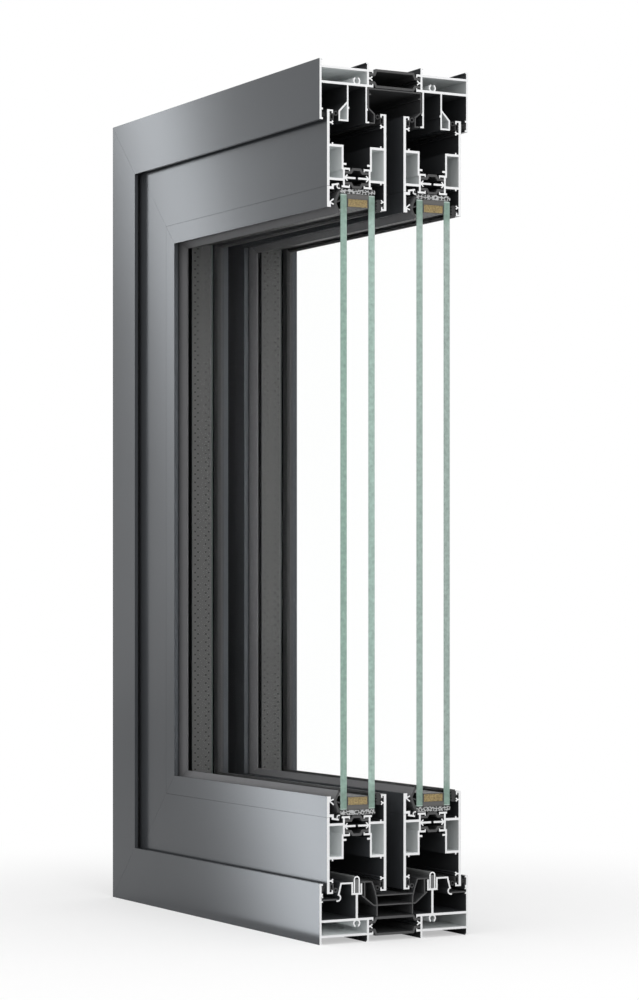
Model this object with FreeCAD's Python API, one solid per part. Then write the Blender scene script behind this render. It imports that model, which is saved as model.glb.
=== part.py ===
"""Cut corner sample of a two-track thermally broken sliding patio door.

Every long piece is one section run along a side of the sample. In a section y runs from the
front face to the back, and t runs from the outer edge of the frame towards the glass. X runs
along the door, Y through its depth and Z up, in millimetres.
"""
import FreeCAD
import Part
import math
import os

V = FreeCAD.Vector

# Sample
SAMPLE_LENGTH = 411.0
SAMPLE_HEIGHT = 718.0
MITRE_GAP = 0.1

# Where the two sashes stand in the depth of the frame
SASH_FRONT = 6.85
SASH_SPACING = 16.3

# Frame, common to head, jamb and sill
FLANGE_WIDTH = 49.5
FLANGE_WALL = 1.8
EDGE_LIP_REACH = 2.6
EDGE_LIP_THICK = 1.0
BOX_OVERHANG = 11.35
OUTER_WEB_FACE = 5.5
OUTER_WEB = 1.8
INNER_WEB_FACE = 19.9
INNER_WEB = 2.0
PRONG_REACH = 4.0
PRONG_HOOK = 0.9
FORK_STEM = 1.6
FORK_SPREAD = 1.7
FORK_REACH = 3.2
PORT_OUTER = 3.4
PORT_INNER = 2.1
PORT_MOUTH = 2.6
PORT_SIDES = 16

# Pile seal groove in the flange
GROOVE_LIP_REACH = 1.2
GROOVE_LIP_THICK = 1.6
GROOVE_WIDTH = 6.3
PILE_BASE = 0.7
PILE_THICK = 3.6

# Legs that hang from the head and stand out of the jamb
LEG_WALL = 1.4
GUIDE_NECK_DROP = 16.0
GUIDE_KNEE_DROP = 8.0
GUIDE_WIDTH = 9.15
INNER_LEG_SETBACK = 1.8
LEG_FOOT = 2.0
LEG_RIDGE_DROP = 12.0
LEG_RIDGE_WIDTH = 1.8
LEG_RIDGE_REACH = 0.7

# Dark liner between the two tracks
LINER_WALL = 1.0
LINER_GAP = 0.6
LINER_SIDE_DROP = 12.5
LINER_KNEE_DROP = 8.0
NUB_REACH = 2.4
NUB_RISE = 5.8

# Sill rail
POST_WALL = 2.0
HOLDER_TOP_DROP = 1.5
HOLDER_DEPTH = 9.0
HOLDER_WALL = 1.5
HOLDER_WIDTH = 9.9
RAIL_WIDTH = 5.5
RAIL_HEIGHT = 13.7
RAIL_WALL = 1.0
RAIL_SIDES = 20
RAIL_FIT = 0.1
COVER_SETBACK = 2.35
COVER_LEAN = 3.1
COVER_TOE_DROP = 10.0
COVER_HOOK_RADIUS = 2.6
COVER_HOOK_WALL = 1.2
COVER_HOOK_STEPS = 6

# Strip that closes the front of the sill
CLOSING_DROP = 13.5
CLOSING_WALL = 1.0
CLOSING_SEAT = 1.2
CLOSING_LIP_SPREAD = 1.9

# Dark chamber in the middle of the sill
CHAMBER_WALL = 1.0
CHAMBER_SHOULDER = 2.75
CHAMBER_WAIST = 0.1
CHAMBER_WAIST_DROP = 7.5
CHAMBER_HIP = 1.7
CHAMBER_HIP_DROP = 14.5
CHAMBER_SIDE = 2.05
CHAMBER_RIB_GAP = 1.9
CHAMBER_UPPER_DROP = 12.2
CHAMBER_LOWER_DROP = 20.2

# Thermal strips
STRIP_THICK = 2.0
STRIP_TOE = 1.1
STRIP_SLOPE = 1.8
STRIP_FIT = 0.1

# Sashes
SASH_INNER_SPACE = 24.6
SASH_OVERLAP = 8.5
SASH_WIDTH = 79.0
SASH_WALL = 2.3
SASH_LIP_REACH = 5.5
SASH_LIP_THICK = 1.3
SASH_LIP_HOOK = 2.8
SEAL_LIP_RISE = 10.4
SEAL_LIP_STEM = 1.4
SASH_BOX_HEIGHT = 18.4
SASH_BOX_WEB = 2.0
SASH_BOX_DEPTH = 15.2
SASH_BOX_WALL = 1.7
SASH_JOG = 1.2
SASH_JOG_DROP = 14.6
SASH_REBATE_DROP = 5.8
STUB_DROP = 3.8
STUB_THICK = 1.6
STUB_REACH = 2.7
SASH_PRONG_REACH = 4.7
SASH_PRONG_THICK = 1.6
SASH_FORK_DROP = 6.6
SASH_FORK_SPREAD = 2.4
SASH_TONGUE_GAP = 2.4
SASH_NUB_PLACE = 4.4
SASH_NUB = 1.3
REBATE_BAR_DROP = 1.2
REBATE_BAR_BACK = 1.2

# Glazing bead
BEAD_WIDTH = 17.0
BEAD_SEAM = 0.2
BEAD_FOOT = 2.2
BEAD_RISER = 1.9
BEAD_TOE = 3.9
BEAD_ARM = 1.5
BEAD_ARM_DROP = 2.6
BEAD_HOOK_RADIUS = 1.8
BEAD_HOOK_WALL = 0.9
BEAD_HOOK_GAP = 0.3
BEAD_HOOK_STEPS = 7
BEAD_LIP_REACH = 3.8
BEAD_LIP_SPREAD = 3.0
BEAD_LIP_THICK = 1.1
BEAD_HEAD = 1.2
BEAD_ARM_FALL = 0.8

# Double-glazed unit
PANE_THICK = 6.0
GLASS_SETBACK_FRONT = 12.5
GLASS_SETBACK_BACK = 10.5
GLASS_BITE = 11.5
BUTYL = 0.4
SPACER_RISE = 3.3
SPACER_HEIGHT = 7.4
SPACER_WALL = 0.5
PAD_SEAT = 0.55
PAD_GAP = 0.15
PAD_OVERHANG = 0.1

# Gaskets and seals
GASKET_THICK = 1.9
GASKET_GAP = 0.2
GASKET_DROP = 1.5
GASKET_RISE = 4.2
GASKET_BELLY = 5.0
RIB_COUNT = 4
RIB_REACH = 1.5
RIB_THICK = 0.9
REAR_GASKET_DROP = 8.5
REAR_GASKET_RISE = 1.5
REAR_LIP_DROP = 7.0
SEAL_WALL = 0.7
SEAL_BASE_WIDTH = 3.4
SEAL_BUBBLE = 1.95
SEAL_SIDES = 10
SEAL_GAP = 0.2
SEAL_PLAY = 0.6

# Roller carriage
CARRIAGE_LENGTH = 120.0
CARRIAGE_START = 132.0
CARRIAGE_PLATE = 2.5
CARRIAGE_TOP = 3.0
CARRIAGE_SIDE_GAP = 0.5
CARRIAGE_RAIL_GAP = 2.8
CARRIAGE_CORNER = 8.0
WHEEL_GROOVE_RADIUS = 10.5
WHEEL_FLANGE = 2.0
WHEEL_WIDTH = 12.0
WHEEL_END_GAP = 18.0
WHEEL_RUNNING_GAP = 0.3
WHEEL_SIDES = 28
AXLE_RADIUS = 3.0
AXLE_FIT = 0.1

# Places that follow from the sizes above
SASH_DEPTH = 2.0 * SASH_BOX_DEPTH + SASH_INNER_SPACE
SASH_BACK = SASH_FRONT + SASH_DEPTH
SASH_CENTRE = SASH_FRONT + SASH_DEPTH / 2.0
FRAME_DEPTH = 2.0 * SASH_BACK + SASH_SPACING
MIDDLE = FRAME_DEPTH / 2.0
BOX_DEPTH = SASH_CENTRE + BOX_OVERHANG
SEAL_REACH = SASH_WALL + 2.0 * SEAL_GAP + SEAL_BASE_WIDTH + 2.0 * SEAL_BUBBLE
GUIDE_FRONT = SASH_FRONT + SEAL_REACH + SEAL_PLAY
GUIDE_BACK = GUIDE_FRONT + GUIDE_WIDTH
TRACK_SIDE = SASH_BACK - SEAL_REACH - SEAL_PLAY
COVER_PLATE_FRONT = GUIDE_FRONT + COVER_SETBACK
COVER_TOE = COVER_PLATE_FRONT - COVER_LEAN
INNER_LEG_FRONT = BOX_DEPTH - INNER_LEG_SETBACK - LEG_WALL
OUTER_PRONG_EDGE = OUTER_WEB_FACE + OUTER_WEB
INNER_PRONG_EDGE = INNER_WEB_FACE - INNER_WEB
FORK_MIDDLE = (OUTER_PRONG_EDGE + INNER_PRONG_EDGE) / 2.0
GUIDE_NECK = FLANGE_WIDTH - GUIDE_NECK_DROP
GUIDE_KNEE = FLANGE_WIDTH - GUIDE_KNEE_DROP
LINER_SIDE = FLANGE_WIDTH - LINER_SIDE_DROP
LINER_KNEE = FLANGE_WIDTH - LINER_KNEE_DROP
NUB_PLACE = INNER_WEB_FACE + NUB_RISE
HOLDER_TOP = FLANGE_WIDTH - HOLDER_TOP_DROP
HOLDER_BASE_TOP = FLANGE_WIDTH - HOLDER_DEPTH
RAIL_TOP = HOLDER_BASE_TOP + RAIL_HEIGHT
COVER_TOE_HEIGHT = FLANGE_WIDTH - COVER_TOE_DROP
CLOSING_HEIGHT = FLANGE_WIDTH - CLOSING_DROP
CHAMBER_WAIST_HEIGHT = FLANGE_WIDTH - CHAMBER_WAIST_DROP
CHAMBER_HIP_HEIGHT = FLANGE_WIDTH - CHAMBER_HIP_DROP
CHAMBER_UPPER_FLOOR = FLANGE_WIDTH - CHAMBER_UPPER_DROP
CHAMBER_LOWER_FLOOR = FLANGE_WIDTH - CHAMBER_LOWER_DROP
SASH_EDGE = FLANGE_WIDTH - SASH_OVERLAP
SASH_INNER_EDGE = SASH_EDGE + SASH_WIDTH
SEAL_LIP_MIDDLE = SASH_EDGE + SEAL_LIP_RISE
BEAD_EDGE = SASH_INNER_EDGE - BEAD_WIDTH
BEAD_ARM_EDGE = BEAD_EDGE - BEAD_ARM_DROP
REBATE_BAR_EDGE = BEAD_EDGE - REBATE_BAR_DROP
SASH_REBATE_WEB = REBATE_BAR_EDGE - SASH_REBATE_DROP
SASH_FORK_MIDDLE = REBATE_BAR_EDGE - SASH_FORK_DROP
SASH_JOG_EDGE = REBATE_BAR_EDGE - SASH_JOG_DROP
STUB_EDGE = SASH_JOG_EDGE - STUB_DROP
SASH_BOX_EDGE = SASH_JOG_EDGE - SASH_BOX_HEIGHT
GLASS_EDGE = SASH_INNER_EDGE - GLASS_BITE
SPACER_EDGE = GLASS_EDGE + SPACER_RISE
GASKET_START = GLASS_EDGE - GASKET_DROP
GASKET_END = SASH_INNER_EDGE + GASKET_RISE
REAR_GASKET_START = SASH_INNER_EDGE - REAR_GASKET_DROP
REAR_GASKET_END = SASH_INNER_EDGE + REAR_GASKET_RISE
REAR_LIP_MIDDLE = SASH_INNER_EDGE - REAR_LIP_DROP
CARRIAGE_SKIRT = RAIL_TOP + CARRIAGE_RAIL_GAP
GROOVE_END = FLANGE_WIDTH - GROOVE_LIP_THICK
GROOVE_START = GROOVE_END - GROOVE_WIDTH
REAR_SASH_SHIFT = FRAME_DEPTH - 2.0 * SASH_CENTRE
GLASS_FRONT = SASH_FRONT + GLASS_SETBACK_FRONT
GLASS_BACK = SASH_BACK - GLASS_SETBACK_BACK
SASH_RIB_FACE = SASH_FRONT + SASH_BOX_DEPTH + SASH_JOG


def polygon(points):
    """Flat face with straight sides through (y, t) points of a section."""
    corners = [V(0, y, t) for y, t in points]
    return Part.Face(Part.makePolygon(corners + corners[:1]))


def bar(y_low, y_high, t_low, t_high):
    """Rectangle of a section."""
    return polygon([(y_low, t_low), (y_high, t_low), (y_high, t_high), (y_low, t_high)])


def ribbon(points, thickness):
    """Wall of even thickness along a line of points, with mitred bends."""
    line = [V(0, y, t) for y, t in points]
    along = [(b - a).normalize() for a, b in zip(line, line[1:])]
    across = [V(0, -d.z, d.y) for d in along]
    offsets = [across[0]]
    for first, second in zip(across, across[1:]):
        bend = first + second
        offsets.append(bend * (2.0 / bend.dot(bend)))
    offsets.append(across[-1])
    half = thickness / 2.0
    left = [p + n * half for p, n in zip(line, offsets)]
    right = [p - n * half for p, n in zip(line, offsets)]
    corners = left + right[::-1]
    return Part.Face(Part.makePolygon(corners + corners[:1]))


def round_bar(y, t, radius, sides):
    """Round form of a section, as a regular polygon."""
    turns = [2.0 * math.pi * (i + 0.5) / sides for i in range(sides)]
    return polygon([(y + radius * math.cos(turn), t + radius * math.sin(turn)) for turn in turns])


def joined(pieces):
    """One face made of overlapping pieces of a section, with its chambers left open."""
    merged = pieces[0].multiFuse(pieces[1:])
    edges = [edge for face in merged.Faces for edge in face.Edges]
    rim = [edge for edge in edges if sum(edge.isSame(other) for other in edges) == 1]
    wires = [Part.Wire(chain) for chain in Part.sortEdges(rim)]
    return Part.makeFace(wires, "Part::FaceMakerBullseye").Faces[0]


def mirrored(face, y):
    """The same section seen from the other side of the plane at y."""
    return face.mirror(V(0, y, 0), V(0, 1, 0))


def side_region(side):
    """Space between the mitre planes that belongs to one side of the sample."""
    reach = SAMPLE_HEIGHT / 2.0 - MITRE_GAP
    if side == "jamb":
        outline = [(0, MITRE_GAP), (reach, reach + MITRE_GAP), (0, 2 * reach + MITRE_GAP)]
    else:
        outline = [(MITRE_GAP, 0), (SAMPLE_LENGTH, 0), (SAMPLE_LENGTH, reach), (reach + MITRE_GAP, reach)]
    corners = [V(x, 0, z) for x, z in outline]
    face = Part.Face(Part.makePolygon(corners + corners[:1]))
    region = face.extrude(V(0, FRAME_DEPTH, 0))
    if side == "head":
        return region.mirror(V(0, 0, SAMPLE_HEIGHT / 2.0), V(0, 0, 1))
    return region


def run(face, side):
    """The solid that a section makes along one side, mitred where sides meet."""
    if side == "jamb":
        upright = face.copy()
        upright.rotate(V(0, 0, 0), V(0, 1, 0), 90)
        solid = upright.extrude(V(0, 0, SAMPLE_HEIGHT))
    else:
        solid = face.extrude(V(SAMPLE_LENGTH, 0, 0))
    if side == "head":
        solid = solid.mirror(V(0, 0, SAMPLE_HEIGHT / 2.0), V(0, 0, 1))
    return solid.removeSplitter().common(side_region(side)).Solids


def all_round(face):
    """The section run along head, jamb and sill."""
    return run(face, "head") + run(face, "jamb") + run(face, "sill")


# Frame sections


def frame_box():
    """Pieces of the front half box that head, jamb and sill share."""
    inside = BOX_DEPTH - FLANGE_WALL
    prong_end = BOX_DEPTH + PRONG_REACH
    port_middle = INNER_PRONG_EDGE - PORT_INNER
    port = round_bar(SASH_CENTRE, port_middle, PORT_OUTER, PORT_SIDES)
    port = port.cut(round_bar(SASH_CENTRE, port_middle, PORT_INNER, PORT_SIDES))
    mouth = bar(SASH_CENTRE - PORT_MOUTH / 2.0, SASH_CENTRE + PORT_MOUTH / 2.0,
                port_middle - PORT_OUTER, port_middle)
    port = port.cut(mouth)
    fork_root = (BOX_DEPTH, FORK_MIDDLE)
    fork_throat = (BOX_DEPTH + FORK_REACH / 3.0, FORK_MIDDLE)
    fork_tip = BOX_DEPTH + FORK_REACH
    return [
        bar(0, FLANGE_WALL, 0, FLANGE_WIDTH),
        bar(0, EDGE_LIP_REACH, 0, EDGE_LIP_THICK),
        bar(0, BOX_DEPTH, OUTER_WEB_FACE, OUTER_PRONG_EDGE),
        bar(0, prong_end, INNER_PRONG_EDGE, INNER_WEB_FACE),
        bar(inside, BOX_DEPTH, 0, INNER_WEB_FACE),
        bar(BOX_DEPTH - EDGE_LIP_REACH, BOX_DEPTH, 0, EDGE_LIP_THICK),
        bar(inside, prong_end, OUTER_WEB_FACE, OUTER_PRONG_EDGE),
        bar(prong_end - PRONG_HOOK, prong_end, OUTER_WEB_FACE, OUTER_PRONG_EDGE + PRONG_HOOK),
        bar(prong_end - PRONG_HOOK, prong_end, INNER_PRONG_EDGE - PRONG_HOOK, INNER_WEB_FACE),
        bar(inside, fork_throat[0], FORK_MIDDLE - FORK_STEM / 2.0, FORK_MIDDLE + FORK_STEM / 2.0),
        ribbon([fork_root, fork_throat, (fork_tip, FORK_MIDDLE - FORK_SPREAD)], FORK_STEM / 1.5),
        ribbon([fork_root, fork_throat, (fork_tip, FORK_MIDDLE + FORK_SPREAD)], FORK_STEM / 1.5),
        port,
    ]


def seal_groove():
    """Lips on the flange that hold the pile seal."""
    reach = FLANGE_WALL + GROOVE_LIP_REACH
    return [
        bar(0, reach, GROOVE_START - GROOVE_LIP_THICK, GROOVE_START),
        bar(0, reach, GROOVE_END, FLANGE_WIDTH),
    ]


def head_section():
    """Front half of the head and jamb, with the two legs that guide the sash."""
    guide_middle = GUIDE_BACK - LEG_WALL / 2.0
    front_middle = GUIDE_FRONT + LEG_WALL / 2.0
    foot_middle = FLANGE_WIDTH - LEG_WALL / 2.0
    ridge = FLANGE_WIDTH - LEG_RIDGE_DROP
    leg_back = INNER_LEG_FRONT + LEG_WALL
    guide = [
        bar(GUIDE_BACK - LEG_WALL, GUIDE_BACK, INNER_PRONG_EDGE, FLANGE_WIDTH),
        ribbon([(guide_middle, GUIDE_NECK), (front_middle, GUIDE_KNEE), (front_middle, FLANGE_WIDTH)],
               LEG_WALL),
        bar(GUIDE_FRONT, GUIDE_BACK, foot_middle - LEG_WALL / 2.0, FLANGE_WIDTH),
        bar(guide_middle, GUIDE_BACK + LEG_RIDGE_REACH, ridge, ridge + LEG_RIDGE_WIDTH),
    ]
    inner_leg = [
        bar(INNER_LEG_FRONT, leg_back, INNER_PRONG_EDGE, FLANGE_WIDTH),
        bar(INNER_LEG_FRONT, leg_back + LEG_FOOT, FLANGE_WIDTH - LEG_WALL, FLANGE_WIDTH),
        bar(INNER_LEG_FRONT, leg_back + LEG_RIDGE_REACH, ridge, ridge + LEG_RIDGE_WIDTH),
    ]
    return joined(frame_box() + seal_groove() + guide + inner_leg)


def sill_section():
    """Front half of the sill, with the post and holder of the roller rail."""
    holder_front = SASH_CENTRE - HOLDER_WIDTH / 2.0
    holder_back = SASH_CENTRE + HOLDER_WIDTH / 2.0
    base = HOLDER_BASE_TOP - HOLDER_WALL
    plate_middle = FLANGE_WIDTH - LEG_WALL / 2.0
    closing_low = CLOSING_HEIGHT - CLOSING_WALL / 2.0 - STRIP_FIT
    hook_middle = closing_low - COVER_HOOK_WALL / 2.0 + COVER_HOOK_RADIUS
    turns = [math.pi * (0.5 - i / COVER_HOOK_STEPS) for i in range(COVER_HOOK_STEPS + 1)]
    bend = [(COVER_TOE + COVER_HOOK_RADIUS * math.cos(turn), hook_middle + COVER_HOOK_RADIUS * math.sin(turn))
            for turn in turns]
    hook = ribbon(bend + [(COVER_TOE - CLOSING_SEAT, bend[-1][1])], COVER_HOOK_WALL)
    seat = bar(0, FLANGE_WALL + CLOSING_SEAT, closing_low - CLOSING_SEAT, closing_low)
    lip_root = (FLANGE_WALL, GROOVE_START - GROOVE_LIP_THICK)
    lip = ribbon([lip_root, (FLANGE_WALL + CLOSING_SEAT, lip_root[1] - CLOSING_LIP_SPREAD)], EDGE_LIP_THICK)
    holder = [
        bar(SASH_CENTRE - POST_WALL / 2.0, SASH_CENTRE + POST_WALL / 2.0, INNER_PRONG_EDGE, HOLDER_BASE_TOP),
        bar(holder_front, holder_back, base, HOLDER_BASE_TOP),
        bar(holder_front, holder_front + HOLDER_WALL, base, FLANGE_WIDTH),
        bar(holder_back - HOLDER_WALL, holder_back, base, HOLDER_TOP),
    ]
    cover = [
        ribbon([(holder_front, plate_middle), (COVER_PLATE_FRONT, plate_middle),
                (COVER_TOE + LEG_WALL / 2.0, COVER_TOE_HEIGHT)], LEG_WALL),
        hook,
        seat,
        lip,
    ]
    return joined(frame_box() + seal_groove() + holder + cover)


def liner_section():
    """Dark channel that lines the head and jamb between the tracks."""
    side = BOX_DEPTH - LINER_WALL / 2.0
    toe = TRACK_SIDE - LINER_WALL / 2.0
    edge = INNER_WEB_FACE + LINER_GAP + LINER_WALL / 2.0
    foot = FLANGE_WIDTH - LINER_WALL / 2.0
    heel = BOX_DEPTH + LINER_GAP
    half = ribbon([(MIDDLE, edge), (side, edge), (side, LINER_SIDE), (toe, LINER_KNEE),
                   (toe, foot), (heel, foot)], LINER_WALL)
    nub = bar(side, side + NUB_REACH, NUB_PLACE - LINER_WALL / 2.0, NUB_PLACE + LINER_WALL / 2.0)
    return joined([half, nub, mirrored(half, MIDDLE), mirrored(nub, MIDDLE)])


def chamber_section():
    """Dark hollow profile in the middle of the sill, between the two rails."""
    half = CHAMBER_WALL / 2.0
    holder_back = SASH_CENTRE + HOLDER_WIDTH / 2.0
    holder_base = HOLDER_BASE_TOP - HOLDER_WALL
    top = FLANGE_WIDTH - half
    shoulder = TRACK_SIDE - CHAMBER_SHOULDER
    side = TRACK_SIDE + CHAMBER_SIDE
    heel = (holder_back, holder_base - CHAMBER_WALL)
    toe = (shoulder + CHAMBER_SIDE, CHAMBER_LOWER_FLOOR)
    rib = holder_back + CHAMBER_RIB_GAP + half
    rib_low = heel[1] + (toe[1] - heel[1]) * (rib - heel[0]) / (toe[0] - heel[0])
    upper_start = TRACK_SIDE + CHAMBER_HIP
    pieces = [
        ribbon([(shoulder, top), (TRACK_SIDE - CHAMBER_WAIST, CHAMBER_WAIST_HEIGHT),
                (TRACK_SIDE + CHAMBER_HIP, CHAMBER_HIP_HEIGHT), (side, CHAMBER_LOWER_FLOOR),
                (side, INNER_WEB_FACE + LINER_GAP)], CHAMBER_WALL),
        bar(holder_back - HOLDER_WALL, shoulder, FLANGE_WIDTH - CHAMBER_WALL, FLANGE_WIDTH),
        bar(rib - half, rib + half, rib_low, top),
        ribbon([heel, toe, (side, CHAMBER_LOWER_FLOOR)], CHAMBER_WALL),
        bar(upper_start, MIDDLE, CHAMBER_UPPER_FLOOR - half, CHAMBER_UPPER_FLOOR + half),
        bar(side, MIDDLE, CHAMBER_LOWER_FLOOR - half, CHAMBER_LOWER_FLOOR + half),
    ]
    return joined(pieces + [mirrored(piece, MIDDLE) for piece in pieces])


def pile_section():
    """Pile seal in the flange groove: a backing strip and its brush."""
    gap = STRIP_FIT
    brush_middle = (GROOVE_START + GROOVE_END) / 2.0
    backing = bar(FLANGE_WALL, FLANGE_WALL + PILE_BASE, GROOVE_START + gap, GROOVE_END - gap)
    brush = bar(FLANGE_WALL, SASH_FRONT - SEAL_GAP, brush_middle - PILE_THICK / 2.0,
                brush_middle + PILE_THICK / 2.0)
    return joined([backing, brush])


def rail_section():
    """Cap that the rollers run on, an upright channel with a round top."""
    half = RAIL_WIDTH / 2.0
    shoulder = RAIL_TOP - half
    outer = joined([
        bar(SASH_CENTRE - half, SASH_CENTRE + half, HOLDER_BASE_TOP, shoulder),
        round_bar(SASH_CENTRE, shoulder, half, RAIL_SIDES),
    ])
    inner = joined([
        bar(SASH_CENTRE - half + RAIL_WALL, SASH_CENTRE + half - RAIL_WALL, HOLDER_BASE_TOP, shoulder),
        round_bar(SASH_CENTRE, shoulder, half - RAIL_WALL, RAIL_SIDES),
    ])
    return outer.cut(inner).Faces[0]


def core_section():
    """Damping core inside the rail cap."""
    half = RAIL_WIDTH / 2.0 - RAIL_WALL - RAIL_FIT
    return bar(SASH_CENTRE - half, SASH_CENTRE + half, HOLDER_BASE_TOP, RAIL_TOP - RAIL_WIDTH / 2.0)


def closing_section():
    """Strip that closes the sill between the flange's seat and the cover's hook."""
    return bar(FLANGE_WALL + STRIP_FIT, COVER_TOE, CLOSING_HEIGHT - CLOSING_WALL / 2.0,
               CLOSING_HEIGHT + CLOSING_WALL / 2.0)


def thermal_strip(middle, foot, prong_end, foot_edge, flat_edge):
    """Strip that ties two aluminium halves together across a line at middle.

    The foot is held in a pocket, and past prong_end the strip slopes to flat_edge, where it crosses.
    """
    toe = prong_end + STRIP_TOE
    half = ribbon([(foot, foot_edge), (toe, foot_edge), (toe + STRIP_SLOPE, flat_edge), (middle, flat_edge)],
                  STRIP_THICK)
    return joined([half, mirrored(half, middle)])


def frame_strips():
    """Outer and inner thermal strip of the frame."""
    foot = BOX_DEPTH + STRIP_FIT
    prong_end = BOX_DEPTH + PRONG_REACH
    outer_foot = OUTER_PRONG_EDGE + PRONG_HOOK + STRIP_FIT + STRIP_THICK / 2.0
    inner_foot = INNER_PRONG_EDGE - PRONG_HOOK - STRIP_FIT - STRIP_THICK / 2.0
    outer_flat = OUTER_WEB_FACE
    inner_flat = INNER_WEB_FACE - STRIP_THICK / 2.0
    return [thermal_strip(MIDDLE, foot, prong_end, outer_foot, outer_flat),
            thermal_strip(MIDDLE, foot, prong_end, inner_foot, inner_flat)]


# Sash sections, drawn for the front sash


def sash_half(wall_end):
    """Aluminium half of a sash member, with its outer wall ending at wall_end."""
    front = SASH_FRONT
    box_back = front + SASH_BOX_DEPTH
    rib_face = SASH_RIB_FACE
    prong_end = rib_face + SASH_PRONG_REACH
    lip_end = front + SASH_LIP_REACH
    lip_root = (front + SASH_WALL, SEAL_LIP_MIDDLE)
    lip_throat = (lip_end - SEAL_LIP_STEM, SEAL_LIP_MIDDLE)
    hook = SASH_LIP_THICK - PRONG_HOOK / 2.0
    bar_back = REBATE_BAR_EDGE + SASH_PRONG_THICK
    nub = front + SASH_NUB_PLACE
    return [
        bar(nub, nub + SASH_NUB, SASH_BOX_EDGE - SASH_NUB, SASH_BOX_EDGE + SASH_BOX_WEB),
        bar(front, front + SASH_WALL, SASH_EDGE, wall_end),
        bar(front, lip_end, SASH_EDGE, SASH_EDGE + SASH_LIP_THICK),
        bar(lip_end - SASH_LIP_THICK, lip_end, SASH_EDGE, SASH_EDGE + SASH_LIP_HOOK),
        ribbon([lip_root, lip_throat, (lip_end, SEAL_LIP_MIDDLE - SEAL_LIP_STEM)], SASH_LIP_THICK),
        ribbon([lip_root, lip_throat, (lip_end, SEAL_LIP_MIDDLE + SEAL_LIP_STEM)], SASH_LIP_THICK),
        bar(front, box_back, SASH_BOX_EDGE, SASH_BOX_EDGE + SASH_BOX_WEB),
        bar(box_back - SASH_BOX_WALL, box_back, SASH_BOX_EDGE, SASH_JOG_EDGE + SASH_PRONG_THICK),
        bar(rib_face - SASH_BOX_WALL, rib_face, SASH_JOG_EDGE, bar_back),
        bar(front, rib_face, SASH_REBATE_WEB, SASH_REBATE_WEB + SASH_BOX_WEB),
        bar(box_back - SASH_BOX_WALL, box_back + STUB_REACH, STUB_EDGE, STUB_EDGE + STUB_THICK),
        bar(rib_face - SASH_BOX_WALL, prong_end, SASH_JOG_EDGE, SASH_JOG_EDGE + SASH_PRONG_THICK),
        bar(prong_end - hook, prong_end, SASH_JOG_EDGE, SASH_JOG_EDGE + SASH_PRONG_THICK + PRONG_HOOK),
        bar(rib_face - SASH_BOX_WALL, SASH_CENTRE - SASH_TONGUE_GAP / 2.0,
            SASH_FORK_MIDDLE - SASH_PRONG_THICK / 2.0, SASH_FORK_MIDDLE + SASH_PRONG_THICK / 2.0),
        ribbon([(rib_face, SASH_FORK_MIDDLE),
                (rib_face + SASH_FORK_SPREAD, SASH_FORK_MIDDLE - SASH_FORK_SPREAD)], FORK_STEM / 1.5),
        ribbon([(rib_face, SASH_FORK_MIDDLE),
                (rib_face + SASH_FORK_SPREAD, SASH_FORK_MIDDLE + SASH_FORK_SPREAD)], FORK_STEM / 1.5),
        bar(rib_face - SASH_BOX_WALL - REBATE_BAR_BACK, prong_end, REBATE_BAR_EDGE, bar_back),
        bar(prong_end - hook, prong_end, REBATE_BAR_EDGE - PRONG_HOOK, bar_back),
    ]


def sash_front_section():
    """Front half, which stops where the glazing bead begins."""
    return joined(sash_half(BEAD_EDGE - BEAD_SEAM))


def sash_back_section():
    """Back half, whose wall runs on past the glass edge and holds the rear gasket."""
    front = SASH_FRONT
    wall_face = front + SASH_WALL
    lip_end = front + SASH_LIP_REACH - SASH_LIP_THICK / 2.0
    lip_root = (wall_face, REAR_LIP_MIDDLE)
    lip_throat = (lip_end - SEAL_LIP_STEM, REAR_LIP_MIDDLE)
    nub = front + SASH_NUB_PLACE
    rest = [
        ribbon([lip_root, lip_throat, (lip_end, REAR_LIP_MIDDLE - SEAL_LIP_STEM)], BEAD_LIP_THICK),
        ribbon([lip_root, lip_throat, (lip_end, REAR_LIP_MIDDLE + SEAL_LIP_STEM)], BEAD_LIP_THICK),
        bar(front, lip_end, SASH_INNER_EDGE - SASH_LIP_THICK, SASH_INNER_EDGE),
        bar(lip_end - SASH_LIP_THICK, lip_end, SASH_INNER_EDGE - SASH_LIP_HOOK, SASH_INNER_EDGE),
        bar(nub, nub + SASH_NUB, SASH_REBATE_WEB, SASH_REBATE_WEB + SASH_BOX_WEB + SASH_NUB),
    ]
    return mirrored(joined(sash_half(SASH_INNER_EDGE) + rest), SASH_CENTRE)


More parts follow.
